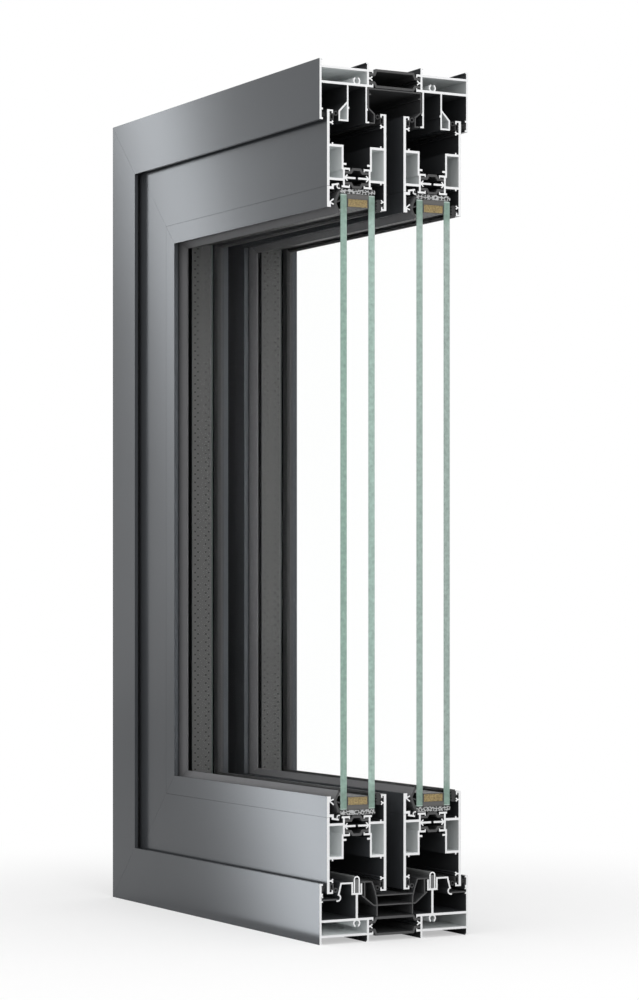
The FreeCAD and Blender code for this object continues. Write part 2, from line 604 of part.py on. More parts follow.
def bead_section():
    """Glazing bead that snaps behind the rebate and holds the front gasket."""
    front = SASH_FRONT
    wall_face = front + SASH_WALL
    toe = front + SASH_WALL + BEAD_TOE
    lip_root = (wall_face, SASH_INNER_EDGE - BEAD_LIP_REACH)
    lip_tip = wall_face + BEAD_LIP_REACH
    lip_edge = SASH_INNER_EDGE - BEAD_LIP_REACH
    hook_reach = BEAD_HOOK_RADIUS + BEAD_HOOK_WALL / 2.0
    hook_y = SASH_RIB_FACE - SASH_BOX_WALL - REBATE_BAR_BACK - BEAD_HOOK_GAP - hook_reach
    hook_t = BEAD_ARM_EDGE + hook_reach
    turns = [math.pi * (1.5 - 1.2 * i / BEAD_HOOK_STEPS) for i in range(BEAD_HOOK_STEPS + 1)]
    hook = [(hook_y + BEAD_HOOK_RADIUS * math.cos(turn), hook_t + BEAD_HOOK_RADIUS * math.sin(turn))
            for turn in turns]
    arm = [(toe - BEAD_RISER, BEAD_ARM_EDGE + BEAD_ARM_FALL + BEAD_ARM / 2.0), (hook_y, hook[0][1])]
    return joined([
        bar(front, wall_face, BEAD_EDGE, SASH_INNER_EDGE),
        bar(front, wall_face + BEAD_HEAD, lip_edge, SASH_INNER_EDGE),
        ribbon([lip_root, (lip_tip, lip_edge - BEAD_LIP_SPREAD)], BEAD_LIP_THICK),
        ribbon([lip_root, (lip_tip, lip_edge + BEAD_LIP_SPREAD / 2.0)], BEAD_LIP_THICK),
        bar(front, toe, BEAD_EDGE + BEAD_SEAM, BEAD_EDGE + BEAD_SEAM + BEAD_FOOT),
        bar(toe - BEAD_RISER, toe, BEAD_ARM_EDGE + BEAD_ARM_FALL, BEAD_EDGE + BEAD_FOOT),
        ribbon(arm, BEAD_ARM),
        ribbon(hook, BEAD_HOOK_WALL),
    ])


def sash_strips():
    """Outer and inner thermal strip of a sash."""
    foot = SASH_RIB_FACE + STRIP_FIT
    prong_end = SASH_RIB_FACE + SASH_PRONG_REACH
    outer_hook = SASH_JOG_EDGE + SASH_PRONG_THICK + PRONG_HOOK
    inner_hook = REBATE_BAR_EDGE - PRONG_HOOK
    outer_foot = outer_hook + STRIP_FIT + STRIP_THICK / 2.0
    inner_foot = inner_hook - STRIP_FIT - STRIP_THICK / 2.0
    outer_flat = SASH_JOG_EDGE + SASH_PRONG_THICK / 2.0
    inner_flat = REBATE_BAR_EDGE + SASH_PRONG_THICK / 2.0
    return [thermal_strip(SASH_CENTRE, foot, prong_end, outer_foot, outer_flat),
            thermal_strip(SASH_CENTRE, foot, prong_end, inner_foot, inner_flat)]


def edge_seal_section():
    """Hollow seal on the sash edge: a tube in the groove and a bubble that meets the frame."""
    base_front = SASH_FRONT + SASH_WALL + SEAL_GAP
    base_back = base_front + SEAL_BASE_WIDTH
    low = SASH_EDGE + SASH_LIP_HOOK + SEAL_GAP
    high = SEAL_LIP_MIDDLE - SEAL_LIP_STEM - SASH_LIP_THICK / 2.0 - SEAL_GAP
    bubble_y = base_back + SEAL_BUBBLE + SEAL_GAP
    bubble_t = SASH_EDGE + SEAL_BUBBLE + SEAL_WALL
    solid = joined([
        bar(base_front, base_back, low, high),
        round_bar(bubble_y, bubble_t, SEAL_BUBBLE, SEAL_SIDES),
        bar(base_back - SEAL_WALL, bubble_y, low, low + SEAL_WALL),
    ])
    base_hollow = bar(base_front + SEAL_WALL, base_back - SEAL_WALL, low + SEAL_WALL, high - SEAL_WALL)
    bubble_hollow = round_bar(bubble_y, bubble_t, SEAL_BUBBLE - SEAL_WALL, SEAL_SIDES)
    return solid.cut(base_hollow).cut(bubble_hollow).Faces[0]


def front_gasket_section():
    """Wedge gasket between the bead and the front pane."""
    face = GLASS_FRONT - GASKET_GAP - GASKET_THICK / 2.0
    belly = GLASS_FRONT - GASKET_BELLY
    grip = SASH_INNER_EDGE - BEAD_LIP_REACH
    lip_tip = SASH_FRONT + SASH_WALL + BEAD_LIP_REACH
    between = (face + belly) / 2.0 - GASKET_GAP
    upper = (GASKET_START + grip) / 2.0
    lower = (GASKET_END + grip) / 2.0
    bends = [(face, GASKET_START), (between, upper), (belly, grip), (between, lower), (face, GASKET_END)]
    body = ribbon(bends, GASKET_THICK)
    fin = ribbon([(belly, grip), (GLASS_FRONT - GASKET_GAP, grip - GASKET_THICK)], RIB_THICK)
    heel_front = lip_tip + GASKET_GAP + BEAD_LIP_THICK / 2.0
    heel = bar(heel_front, belly, grip - GASKET_THICK, grip + GASKET_THICK / 2.0)
    return joined([body, fin, heel])


def rear_gasket_section():
    """Ribbed gasket between the back pane and the back wall."""
    wall_face = SASH_BACK - SASH_WALL
    lip_end = SASH_BACK - SASH_LIP_REACH
    back = lip_end - GASKET_GAP
    face = GLASS_BACK + GASKET_GAP
    lip_low = REAR_LIP_MIDDLE + SEAL_LIP_STEM + BEAD_LIP_THICK + GASKET_GAP
    lip_high = SASH_INNER_EDGE - SASH_LIP_HOOK - GASKET_GAP
    pitch = (REAR_GASKET_END - REAR_GASKET_START) / RIB_COUNT
    ribs = [bar(face, back, REAR_GASKET_START + pitch * (i + 0.5) - RIB_THICK / 2.0,
                REAR_GASKET_START + pitch * (i + 0.5) + RIB_THICK / 2.0) for i in range(RIB_COUNT)]
    body = bar(face + RIB_REACH, back, REAR_GASKET_START, REAR_GASKET_END)
    root = bar(back - RIB_THICK, wall_face - SASH_WALL / 2.0, lip_low, lip_high)
    return joined([body, root] + ribs)


def spacer_section():
    """Hollow bar that keeps the panes apart."""
    front = GLASS_FRONT + PANE_THICK + BUTYL
    back = GLASS_BACK - PANE_THICK - BUTYL
    outer = bar(front, back, SPACER_EDGE, SPACER_EDGE + SPACER_HEIGHT)
    inner = bar(front + SPACER_WALL, back - SPACER_WALL, SPACER_EDGE + SPACER_WALL,
                SPACER_EDGE + SPACER_HEIGHT - SPACER_WALL)
    return outer.cut(inner).Faces[0]


def desiccant_section():
    """Drying grains that fill the spacer, as one bar."""
    inset = BUTYL + SPACER_WALL
    return bar(GLASS_FRONT + PANE_THICK + inset, GLASS_BACK - PANE_THICK - inset, SPACER_EDGE + SPACER_WALL,
               SPACER_EDGE + SPACER_HEIGHT - SPACER_WALL)


def sealant_section():
    """Sealant round the edge of the unit and the butyl beside the spacer."""
    front = GLASS_FRONT + PANE_THICK
    back = GLASS_BACK - PANE_THICK
    top = SPACER_EDGE + SPACER_HEIGHT
    return joined([
        bar(front, back, GLASS_EDGE, SPACER_EDGE),
        bar(front, front + BUTYL, GLASS_EDGE, top),
        bar(back - BUTYL, back, GLASS_EDGE, top),
    ])


def pad_section():
    """Pad that the edge of the unit sets on."""
    low = REBATE_BAR_EDGE + SASH_PRONG_THICK + PAD_SEAT
    return bar(GLASS_FRONT - PAD_OVERHANG, GLASS_BACK + PAD_OVERHANG, low, GLASS_EDGE - PAD_GAP)


# Single pieces of a sash


def pane(front):
    """One sheet of glass, cut off flat at the right."""
    length = SAMPLE_LENGTH - GLASS_EDGE
    height = SAMPLE_HEIGHT - 2.0 * GLASS_EDGE
    return Part.makeBox(length, PANE_THICK, height, V(GLASS_EDGE, front, GLASS_EDGE))


def wheel_places():
    """X of the two wheels of a carriage."""
    return [CARRIAGE_START + WHEEL_END_GAP, CARRIAGE_START + CARRIAGE_LENGTH - WHEEL_END_GAP]


def axle_height():
    """Height of the axles, where the grooves run just over the rail."""
    return RAIL_TOP + WHEEL_RUNNING_GAP + WHEEL_GROOVE_RADIUS


def round_pin(x, radius, reach):
    """Round bar at an axle, from reach in front of the sash's middle to reach behind it."""
    turns = [2.0 * math.pi * i / WHEEL_SIDES for i in range(WHEEL_SIDES)]
    corners = [V(x + radius * math.cos(turn), SASH_CENTRE - reach, axle_height() + radius * math.sin(turn))
               for turn in turns]
    face = Part.Face(Part.makePolygon(corners + corners[:1]))
    return face.extrude(V(0, 2.0 * reach, 0))


def carriage():
    """Roller housing in the bottom rail: two cheeks under a top plate."""
    side = SASH_INNER_SPACE / 2.0 - CARRIAGE_SIDE_GAP
    top = STUB_EDGE - STRIP_FIT
    outline = Part.makeBox(CARRIAGE_LENGTH, 2.0 * side, top - CARRIAGE_SKIRT,
                           V(CARRIAGE_START, SASH_CENTRE - side, CARRIAGE_SKIRT))
    ends = [edge for edge in outline.Edges
            if abs(edge.BoundBox.YLength - 2.0 * side) < CARRIAGE_SIDE_GAP
            and edge.BoundBox.ZMax < CARRIAGE_SKIRT + CARRIAGE_SIDE_GAP]
    outline = outline.makeChamfer(CARRIAGE_CORNER, ends)
    inside = side - CARRIAGE_PLATE
    hollow = Part.makeBox(CARRIAGE_LENGTH, 2.0 * inside, top - CARRIAGE_TOP - CARRIAGE_SKIRT,
                          V(CARRIAGE_START, SASH_CENTRE - inside, CARRIAGE_SKIRT))
    housing = outline.cut(hollow)
    for x in wheel_places():
        housing = housing.cut(round_pin(x, AXLE_RADIUS + AXLE_FIT, side))
    return housing


def wheel(x):
    """Grooved roller with its axle."""
    half = WHEEL_WIDTH / 2.0
    groove = RAIL_WIDTH / 2.0 + WHEEL_RUNNING_GAP
    reach = SASH_INNER_SPACE / 2.0 - CARRIAGE_SIDE_GAP
    side = (half - groove) / 2.0
    flange = round_pin(x, WHEEL_GROOVE_RADIUS + WHEEL_FLANGE, side)
    flanges = [flange.translated(V(0, place, 0)) for place in (-groove - side, groove + side)]
    return round_pin(x, WHEEL_GROOVE_RADIUS, groove).fuse(flanges + [round_pin(x, AXLE_RADIUS, reach)])


# The nodes


def frame_nodes():
    """Every piece of the fixed frame."""
    head = head_section()
    sill = sill_section()
    pile = pile_section()
    rail = rail_section()
    core = core_section()
    strip = closing_section()
    nodes = {}
    for place, shape in (("front", head), ("rear", mirrored(head, MIDDLE))):
        nodes["head_" + place + "_profile"] = run(shape, "head")
        nodes["jamb_" + place + "_profile"] = run(shape, "jamb")
    for place, turn in (("front", lambda face: face), ("rear", lambda face: mirrored(face, MIDDLE))):
        nodes["sill_" + place + "_profile"] = run(turn(sill), "sill")
        nodes[place + "_rail_cap"] = run(turn(rail), "sill")
    both = [core, mirrored(core, MIDDLE)]
    nodes["rail_cores"] = [solid for face in both for solid in run(face, "sill")]
    both = [strip, mirrored(strip, MIDDLE)]
    nodes["sill_closing_strips"] = [solid for face in both for solid in run(face, "sill")]
    both = [pile, mirrored(pile, MIDDLE)]
    nodes["frame_pile_seals"] = [solid for face in both for solid in all_round(face)]
    nodes["frame_thermal_strips"] = [solid for face in frame_strips() for solid in all_round(face)]
    liner = liner_section()
    nodes["head_liner"] = run(liner, "head")
    nodes["jamb_liner"] = run(liner, "jamb")
    nodes["sill_centre_chamber"] = run(chamber_section(), "sill")
    return nodes


def sash_nodes(name, shift):
    """Every piece of one sash, moved back by shift."""
    halves = [sash_front_section(), sash_back_section()]
    seal = edge_seal_section()
    carriage_parts = [carriage()]
    wheels = [wheel(x) for x in wheel_places()]
    members = {"top_rail": "head", "stile": "jamb", "bottom_rail": "sill"}
    nodes = {}
    for member, side in members.items():
        nodes[member] = [solid for face in halves for solid in run(face, side)]
    nodes["glazing_beads"] = all_round(bead_section())
    nodes["thermal_strips"] = [solid for face in sash_strips() for solid in all_round(face)]
    nodes["edge_seals"] = [solid for face in (seal, mirrored(seal, SASH_CENTRE)) for solid in all_round(face)]
    nodes["glazing_gaskets"] = all_round(front_gasket_section()) + all_round(rear_gasket_section())
    nodes["front_pane"] = [pane(GLASS_FRONT)]
    nodes["rear_pane"] = [pane(GLASS_BACK - PANE_THICK)]
    nodes["spacer"] = all_round(spacer_section())
    nodes["desiccant"] = all_round(desiccant_section())
    nodes["edge_sealant"] = all_round(sealant_section())
    nodes["setting_pads"] = all_round(pad_section())
    nodes["roller_carriage"] = carriage_parts
    nodes["rollers"] = wheels
    return {name + "_" + key: [solid.translated(V(0, shift, 0)) for solid in solids]
            for key, solids in nodes.items()}


def export(nodes):
    """Write each node as one STEP file, with the origin under the middle of the sample."""
    os.makedirs("parts", exist_ok=True)
    to_origin = V(-SAMPLE_LENGTH / 2.0, -MIDDLE, 0)
    for name, solids in nodes.items():
        shape = solids[0] if len(solids) == 1 else Part.makeCompound(solids)
        shape.translated(to_origin).exportStep("parts/" + name + ".step")


export(frame_nodes())
export(sash_nodes("front_sash", 0.0))
export(sash_nodes("rear_sash", REAR_SASH_SHIFT))
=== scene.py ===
"""Looks of the cut corner sample of a sliding patio door, laid out as an add-on."""
import math
import random

import bmesh
import bpy
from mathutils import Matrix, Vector


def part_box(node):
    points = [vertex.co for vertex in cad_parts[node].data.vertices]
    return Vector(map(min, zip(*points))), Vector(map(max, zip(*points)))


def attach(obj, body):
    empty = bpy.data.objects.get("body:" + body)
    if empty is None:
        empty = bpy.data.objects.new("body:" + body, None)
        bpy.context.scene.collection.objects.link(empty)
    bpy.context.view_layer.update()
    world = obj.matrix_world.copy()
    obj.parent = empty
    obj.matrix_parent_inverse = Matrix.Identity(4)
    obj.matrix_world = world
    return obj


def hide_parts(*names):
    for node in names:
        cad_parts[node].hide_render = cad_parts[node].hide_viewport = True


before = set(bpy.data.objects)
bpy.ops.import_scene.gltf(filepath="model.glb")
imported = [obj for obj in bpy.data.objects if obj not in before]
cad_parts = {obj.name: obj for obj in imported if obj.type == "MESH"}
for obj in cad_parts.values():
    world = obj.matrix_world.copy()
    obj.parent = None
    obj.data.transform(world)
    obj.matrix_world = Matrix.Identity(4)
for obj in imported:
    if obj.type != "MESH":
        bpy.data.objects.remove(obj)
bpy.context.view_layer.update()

bl_info = {
    "name": "Sliding patio door sample",
    "version": (1, 0, 0),
    "blender": (4, 5, 0),
    "location": "3D View > Sidebar > Door sample",
    "description": "Finishes, glass, cords, brushes and studio for the door sample",
    "category": "Object",
}

LOW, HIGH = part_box("jamb_front_profile")
CUT_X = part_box("sill_front_profile")[1][0]
JAMB_X = LOW[0]
HALF_DEPTH = -LOW[1]
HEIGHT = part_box("head_front_profile")[1][2]
FLANGE = HIGH[0] - LOW[0]
SASHES = ("front_sash", "rear_sash")

# How near to a face or an edge of the section, in metres, a point counts as on it
SKIN = 0.0003
TOUCH = 0.0002

# Small forms of the section, in metres
HOOK_REACH = 0.00225
HOOK_BACK = 0.00132
BRUSH_WIDTH = 0.0036
BRUSH_INSET = 0.00125
BACKING = 0.0007
TIP_GAP = 0.0002
PAD_GAP = 0.00015
PAD_ROUND = 0.0009

# Counts, and shares of a tuft's pitch or a grain's size
BRUSH_ROWS = 4
PAD_STEPS = 34
TUFT_WIDTH = 0.62
ROW_PACKING = 0.87
GRAIN_SET_BACK = 0.6

# Spacer bar, and its pin holes in rows at a distance from its side, each row shifted along it
SPACER_HEIGHT = 0.0074
SPACER_WALL = 0.0005
HOLE_PITCH = 0.0074
HOLE_ROWS = ((0.0028, 0.0), (0.0057, HOLE_PITCH / 2.0))
HOLE_LANE = 0.0007
HOLE_REACH = 0.0008
RIM_REACH = 0.0018

# Closed chambers: nearest and farthest place from the outer edge, then from the face, and a slant.
# The slant cuts a corner off, where the place from the edge times its slope and the one from the face
# add up to less than its limit.
FLANGE_CHAMBER = ((0.00725, 0.01795, 0.0017, 0.0440), None)
HOOK_CHAMBER = ((0.0340, 0.0482, 0.0187, 0.0253), (0.88, 0.0545))
SASH_CHAMBER = ((0.0707, 0.0961, 0.0022, 0.01495), None)

# Mill finish in the chambers, with painted light that makes it lighter over a distance from the cut,
# and painted shade that makes it darker between two depths
MILL_LIGHT_REACH = 0.05
MILL_PAINTED_LIGHT = 1.3
MILL_SHADE_DEPTHS = (-0.03, 0.055)
MILL_PAINTED_SHADE = 0.72

# Roughness of the paint, and what the pockets and the bare metal add to it
PAINT_ROUGH = 0.18
RECESS_ROUGH = 0.7
BARE_ROUGH = 0.28

# Cut edges of the panes: painted shade in the rebate, tints, a painted highlight at the pane's end, and the
# places from the panes' edge and in depth where these change
REBATE_SHADE_FADE = (0.012, 0.022)
REBATE_PAINTED_SHADE = 0.7
FIRST_TINT = (0.93, 0.92, 0.94)
SECOND_TINT = (1.23, 1.13, 1.21)
LAST_TINT = (1.14, 0.95, 1.05)
FIRST_PANE_END = -0.038
TINT_DEPTHS = (-0.0245, 0.0505)
PANE_END_HIGHLIGHT = 0.0011

# Where the wedge gasket starts, from the outer edge
WEDGE_EDGE = 0.106

# Studio: the world's light, the floor's fade to white over a distance with its share of white near the
# sample, the light that it sends up, and the colours of the lamps
WORLD_LIGHT = 0.71
FLOOR_FADE = (0.28, 0.75)
FLOOR_WHITE = 0.45
FLOOR_BOUNCE = (0.36, 0.36, 0.36)
LAMP_WHITE = (1.0, 1.0, 1.0)
STRIP_WHITE = (0.93, 0.965, 1.0)

# Camera fitted to the photograph, level, with its turn in degrees
CAMERA_PLACE = (2.25345, -1.15886, 0.29349)
CAMERA_TURN = 60.3482
CAMERA_LENS = 103.173
CAMERA_SHIFT = (-0.08279, 0.08246)

# Settings that a user would change
COLOUR = {"subtype": "COLOR", "size": 3, "min": 0.0, "max": 1.0}
LENGTH = {"subtype": "DISTANCE", "unit": "LENGTH"}


class DoorSampleColours(bpy.types.PropertyGroup):
    """Colours of the sample's finishes."""

    paint: bpy.props.FloatVectorProperty(
        name="Paint", description="Satin grey of the outer faces", default=(0.066, 0.07, 0.076), **COLOUR)
    saw_cut: bpy.props.FloatVectorProperty(
        name="Saw cut", description="Bare aluminium where the sample was sawn",
        default=(0.86, 0.865, 0.87), **COLOUR)
    mill: bpy.props.FloatVectorProperty(
        name="Mill finish", description="Bare aluminium inside the closed chambers",
        default=(0.77, 0.795, 0.795), **COLOUR)
    # Dark paint of the open pockets, made darker still as painted shade
    pocket_paint_and_shade: bpy.props.FloatVectorProperty(
        name="Recess", description="Dark paint in the open pockets", default=(0.032, 0.033, 0.035), **COLOUR)
    plastic: bpy.props.FloatVectorProperty(
        name="Plastic", description="Dark plastic of strips, liners and sill chamber",
        default=(0.054, 0.055, 0.057), **COLOUR)
    plastic_cut: bpy.props.FloatVectorProperty(
        name="Plastic cut", description="Sawn faces of the dark plastic",
        default=(0.062, 0.062, 0.063), **COLOUR)
    rubber: bpy.props.FloatVectorProperty(
        name="Rubber", description="Gaskets, cords and hollow seals", default=(0.03, 0.03, 0.031), **COLOUR)
    glass_edge: bpy.props.FloatVectorProperty(
        name="Glass edge", description="Green seen in the edge of a pane",
        default=(0.29, 0.42, 0.355), **COLOUR)
    spacer: bpy.props.FloatVectorProperty(
        name="Spacer", description="Anodised bar between the panes", default=(0.066, 0.066, 0.065), **COLOUR)
    grains: bpy.props.FloatVectorProperty(
        name="Drying grains", description="Grains that fill the spacer", default=(0.56, 0.44, 0.22), **COLOUR)
    pad: bpy.props.FloatVectorProperty(
        name="Setting pad", description="Cellular pad under the glass", default=(0.62, 0.63, 0.63), **COLOUR)
    rail: bpy.props.FloatVectorProperty(
        name="Rail", description="Sides of the roller rail", default=(0.24, 0.245, 0.245), **COLOUR)
    floor: bpy.props.FloatVectorProperty(
        name="Floor", description="Studio floor", default=(0.97, 0.97, 0.97), **COLOUR)


class DoorSampleSizes(bpy.types.PropertyGroup):
    """Sizes of the pieces that the scene adds."""

    arris: bpy.props.FloatProperty(
        name="Arris", description="Chamfer ground on a pane's edges", default=0.0005,
        min=0.0001, max=0.002, **LENGTH)
    cord_radius: bpy.props.FloatProperty(
        name="Bead cord", description="Radius of the rubber cord in the bead's hook", default=0.0011,
        min=0.0005, max=0.002, **LENGTH)
    bristle: bpy.props.FloatProperty(
        name="Bristle pitch", description="Distance between tufts of the pile seals", default=0.0016,
        min=0.0005, max=0.005, **LENGTH)
    grain: bpy.props.FloatProperty(
        name="Grain size", description="Width of a drying grain", default=0.0011,
        min=0.0005, max=0.003, **LENGTH)
    floor_reach: bpy.props.FloatProperty(
        name="Floor reach", description="Half the width of the studio floor", default=4.0,
        min=1.0, max=20.0, **LENGTH)


# Shader helpers


def feed(tree, socket, source):
    """Lead a socket into an input, or set the input to a number, a colour or a vector."""
    if isinstance(source, bpy.types.NodeSocket):
        tree.links.new(source, socket)
    elif isinstance(source, (int, float)):
        socket.default_value = source
    else:
        socket.default_value = (*source, 1.0) if socket.type == "RGBA" else tuple(source)


def math_node(tree, operation, *sources):
    """Math node fed by sockets or numbers; returns its value socket."""
    node = tree.nodes.new("ShaderNodeMath")
    node.operation = operation
    for socket, source in zip(node.inputs, sources):
        feed(tree, socket, source)
    return node.outputs[0]


def folded(tree, operation, sources):
    """Math nodes one after another over a list of sockets or numbers."""
    total = sources[0]
    for source in sources[1:]:
        total = math_node(tree, operation, total, source)
    return total


def vector_node(tree, operation, first, second=None):
    """Vector math node fed by sockets, triples or, for SCALE, a number; returns its result."""
    node = tree.nodes.new("ShaderNodeVectorMath")
    node.operation = operation
    feed(tree, node.inputs[0], first)
    if second is not None:
        feed(tree, node.inputs["Scale" if operation == "SCALE" else 1], second)
    return node.outputs["Value" if operation in ("LENGTH", "DOT_PRODUCT") else "Vector"]


def tinted(tree, colour, tone):
    """Colour multiplied by a tone."""
    return vector_node(tree, "SCALE", colour, tone)


def mix_colour(tree, mask, first, second, blend="MIX"):
    """Colour mix by mask; colours are sockets or RGB triples."""
    node = tree.nodes.new("ShaderNodeMix")
    node.data_type = "RGBA"
    node.blend_type = blend
    for socket, source in ((node.inputs[0], mask), (node.inputs[6], first), (node.inputs[7], second)):
        feed(tree, socket, source)
    return node.outputs[2]


def mix_shaders(tree, mask, first, second):
    """Shader mixed from two shader sockets by a mask."""
    node = tree.nodes.new("ShaderNodeMixShader")
    for socket, source in zip(node.inputs, (mask, first, second)):
        feed(tree, socket, source)
    return node.outputs[0]


def map_range(tree, value, low, high, to_low=0.0, to_high=1.0, interpolation="LINEAR"):
    """Value socket led from one range to another and held at its ends."""
    node = tree.nodes.new("ShaderNodeMapRange")
    node.interpolation_type = interpolation
    for socket, source in zip(node.inputs, (value, low, high, to_low, to_high)):
        feed(tree, socket, source)
    return node.outputs["Result"]


def noise_node(tree, place, scale, detail=3.0, roughness=0.5, output="Fac"):
    """Noise texture at a vector socket; returns one of its outputs."""
    node = tree.nodes.new("ShaderNodeTexNoise")
    for name, source in (("Vector", place), ("Scale", scale), ("Detail", detail), ("Roughness", roughness)):
        feed(tree, node.inputs[name], source)
    return node.outputs[output]


def coordinate(tree, kind="Object"):
    """Place ("Object") or facing ("Normal") of a point in the sample's own frame."""
    return tree.nodes.new("ShaderNodeTexCoord").outputs[kind]


def axes_of(tree, vector):
    """X, Y and Z sockets of a vector socket."""
    node = tree.nodes.new("ShaderNodeSeparateXYZ")
    feed(tree, node.inputs[0], vector)
    return node.outputs


def shade(colour, *factors):
    """Colour times one factor, or times one for each channel."""
    return tuple(channel * factor for channel, factor in zip(colour, factors * 3))


# Effects that several materials share


def new_group(name, inputs, outputs):
    """Empty shader node group with number sockets; returns it with the sockets inside it."""
    tree = bpy.data.node_groups.new(name, "ShaderNodeTree")
    for socket, value in inputs.items():
        item = tree.interface.new_socket(socket, in_out="INPUT", socket_type="NodeSocketFloat")
        item.default_value = value
    for socket in outputs:
        tree.interface.new_socket(socket, in_out="OUTPUT", socket_type="NodeSocketFloat")
    return tree, tree.nodes.new("NodeGroupInput").outputs, tree.nodes.new("NodeGroupOutput").inputs


def cut_group():
    """Mask of the sawn faces: those at the cut plane that face along X."""
    tree, given, result = new_group("sawn_face", {"Cut X": CUT_X, "Tolerance": SKIN}, ["Mask"])
    x, _, _ = axes_of(tree, coordinate(tree))
    facing_x, _, _ = axes_of(tree, coordinate(tree, "Normal"))
    away = math_node(tree, "SUBTRACT", given["Cut X"], x)
    near = math_node(tree, "LESS_THAN", away, given["Tolerance"])
    faces = math_node(tree, "GREATER_THAN", facing_x, 0.7)
    feed(tree, result["Mask"], math_node(tree, "MULTIPLY", near, faces))
    return tree


def section_group():
    """Where a point lies in the section: from the outer edge, the face, a middle plane and the cut."""
    tree, given, result = new_group(
        "section_place", {"Middle Y": 0.0, "Half Depth": HALF_DEPTH},
        ["From Edge", "From Face", "Behind", "From Cut"])
    x, y, z = axes_of(tree, coordinate(tree))
    from_jamb = math_node(tree, "SUBTRACT", x, JAMB_X)
    from_head = math_node(tree, "SUBTRACT", HEIGHT, z)
    behind = math_node(tree, "SUBTRACT", y, given["Middle Y"])
    depth = math_node(tree, "ABSOLUTE", behind)
    feed(tree, result["From Edge"], folded(tree, "MINIMUM", [z, from_head, from_jamb]))
    feed(tree, result["From Face"], math_node(tree, "SUBTRACT", given["Half Depth"], depth))
    feed(tree, result["Behind"], behind)
    feed(tree, result["From Cut"], math_node(tree, "SUBTRACT", CUT_X, x))
    return tree


def window_group():
    """Mask that is one inside a rectangle of two values."""
    tree, given, result = new_group(
        "window", {"U": 0.0, "V": 0.0, "U Low": 0.0, "U High": 1.0, "V Low": 0.0, "V High": 1.0}, ["Mask"])
    parts = []
    for value in ("U", "V"):
        parts.append(math_node(tree, "GREATER_THAN", given[value], given[value + " Low"]))
        parts.append(math_node(tree, "LESS_THAN", given[value], given[value + " High"]))
    feed(tree, result["Mask"], folded(tree, "MULTIPLY", parts))
    return tree


def saw_marks_group():
    """Fine arcs and burr of a circular saw, as a height and a brightness."""
    tree, given, result = new_group("saw_marks", {"Pitch": 2600.0, "Strength": 0.5}, ["Height", "Tone"])
    place = coordinate(tree)
    arcs = tree.nodes.new("ShaderNodeTexWave")
    arcs.wave_type = "RINGS"
    arcs.rings_direction = "X"
    for name, source in (("Vector", place), ("Scale", given["Pitch"]), ("Distortion", 1.2), ("Detail", 2.0)):
        feed(tree, arcs.inputs[name], source)
    both = math_node(tree, "MULTIPLY_ADD", arcs.outputs["Fac"], 0.6, noise_node(tree, place, 900.0))
    feed(tree, result["Height"], math_node(tree, "MULTIPLY", both, given["Strength"]))
    feed(tree, result["Tone"], math_node(tree, "MULTIPLY_ADD", both, 0.06, 0.92))
    return tree


def powder_group():
    """Powder texture and faint cloudiness of painted metal."""
    tree, given, result = new_group(
        "powder_coat", {"Flake": 2400.0, "Cloud": 9.0, "Amount": 1.0}, ["Tone", "Roughness", "Height"])
    place = coordinate(tree)
    flake = noise_node(tree, place, given["Flake"], 2.0)
    cloud = noise_node(tree, place, given["Cloud"], 4.0)
    flaky = math_node(tree, "MULTIPLY", math_node(tree, "SUBTRACT", flake, 0.5), 0.22)
    cloudy = math_node(tree, "MULTIPLY", math_node(tree, "SUBTRACT", cloud, 0.5), 0.12)
    shift = math_node(tree, "ADD", flaky, cloudy)
    feed(tree, result["Tone"], math_node(tree, "MULTIPLY_ADD", shift, given["Amount"], 1.0))
    feed(tree, result["Roughness"], math_node(tree, "MULTIPLY", cloudy, 0.6))
    feed(tree, result["Height"], flake)
    return tree


def die_lines_group():
    """Die lines that run along a piece, for a piece that runs along X or along Z."""
    tree, given, result = new_group("die_lines", {"Fineness": 900.0, "Amount": 1.0}, ["Tone", "Height"])
    fine = vector_node(tree, "SCALE", coordinate(tree), given["Fineness"])
    lines = noise_node(tree, vector_node(tree, "MULTIPLY", fine, (0.01, 1.0, 0.01)), 1.0)
    shift = math_node(tree, "MULTIPLY", math_node(tree, "SUBTRACT", lines, 0.5), given["Amount"])
    feed(tree, result["Tone"], math_node(tree, "MULTIPLY_ADD", shift, 0.3, 1.0))
    feed(tree, result["Height"], lines)
    return tree


GROUP_MAKERS = {
    "sawn_face": cut_group, "section_place": section_group, "window": window_group,
    "saw_marks": saw_marks_group, "powder_coat": powder_group, "die_lines": die_lines_group}


def group_node(tree, name, **values):
    """One of the shared effects placed in a material with its own values; returns its outputs."""
    node = tree.nodes.new("ShaderNodeGroup")
    node.node_tree = bpy.data.node_groups.get(name) or GROUP_MAKERS[name]()
    for key, value in values.items():
        feed(tree, node.inputs[key.replace("_", " ")], value)
    return node.outputs


def sawn_mask(tree):
    """Mask of the faces that the saw left."""
    return group_node(tree, "sawn_face")["Mask"]


def material(name):
    """New node material; returns it with its tree and its Principled BSDF."""
    made = bpy.data.materials.new(name)
    made.use_nodes = True
    return made, made.node_tree, made.node_tree.nodes["Principled BSDF"]


def dress(tree, shader, colour, roughness, height, strength, distance):
    """Lead a colour, a roughness and a bump made from a height into a shader."""
    feed(tree, shader.inputs["Base Color"], colour)
    feed(tree, shader.inputs["Roughness"], roughness)
    node = tree.nodes.new("ShaderNodeBump")
    for name, source in (("Strength", strength), ("Distance", distance), ("Height", height)):
        feed(tree, node.inputs[name], source)
    feed(tree, shader.inputs["Normal"], node.outputs["Normal"])


def surface(tree, shader):
    """Lead a shader socket into the material's output."""
    feed(tree, tree.nodes["Material Output"].inputs["Surface"], shader)


# Finishes


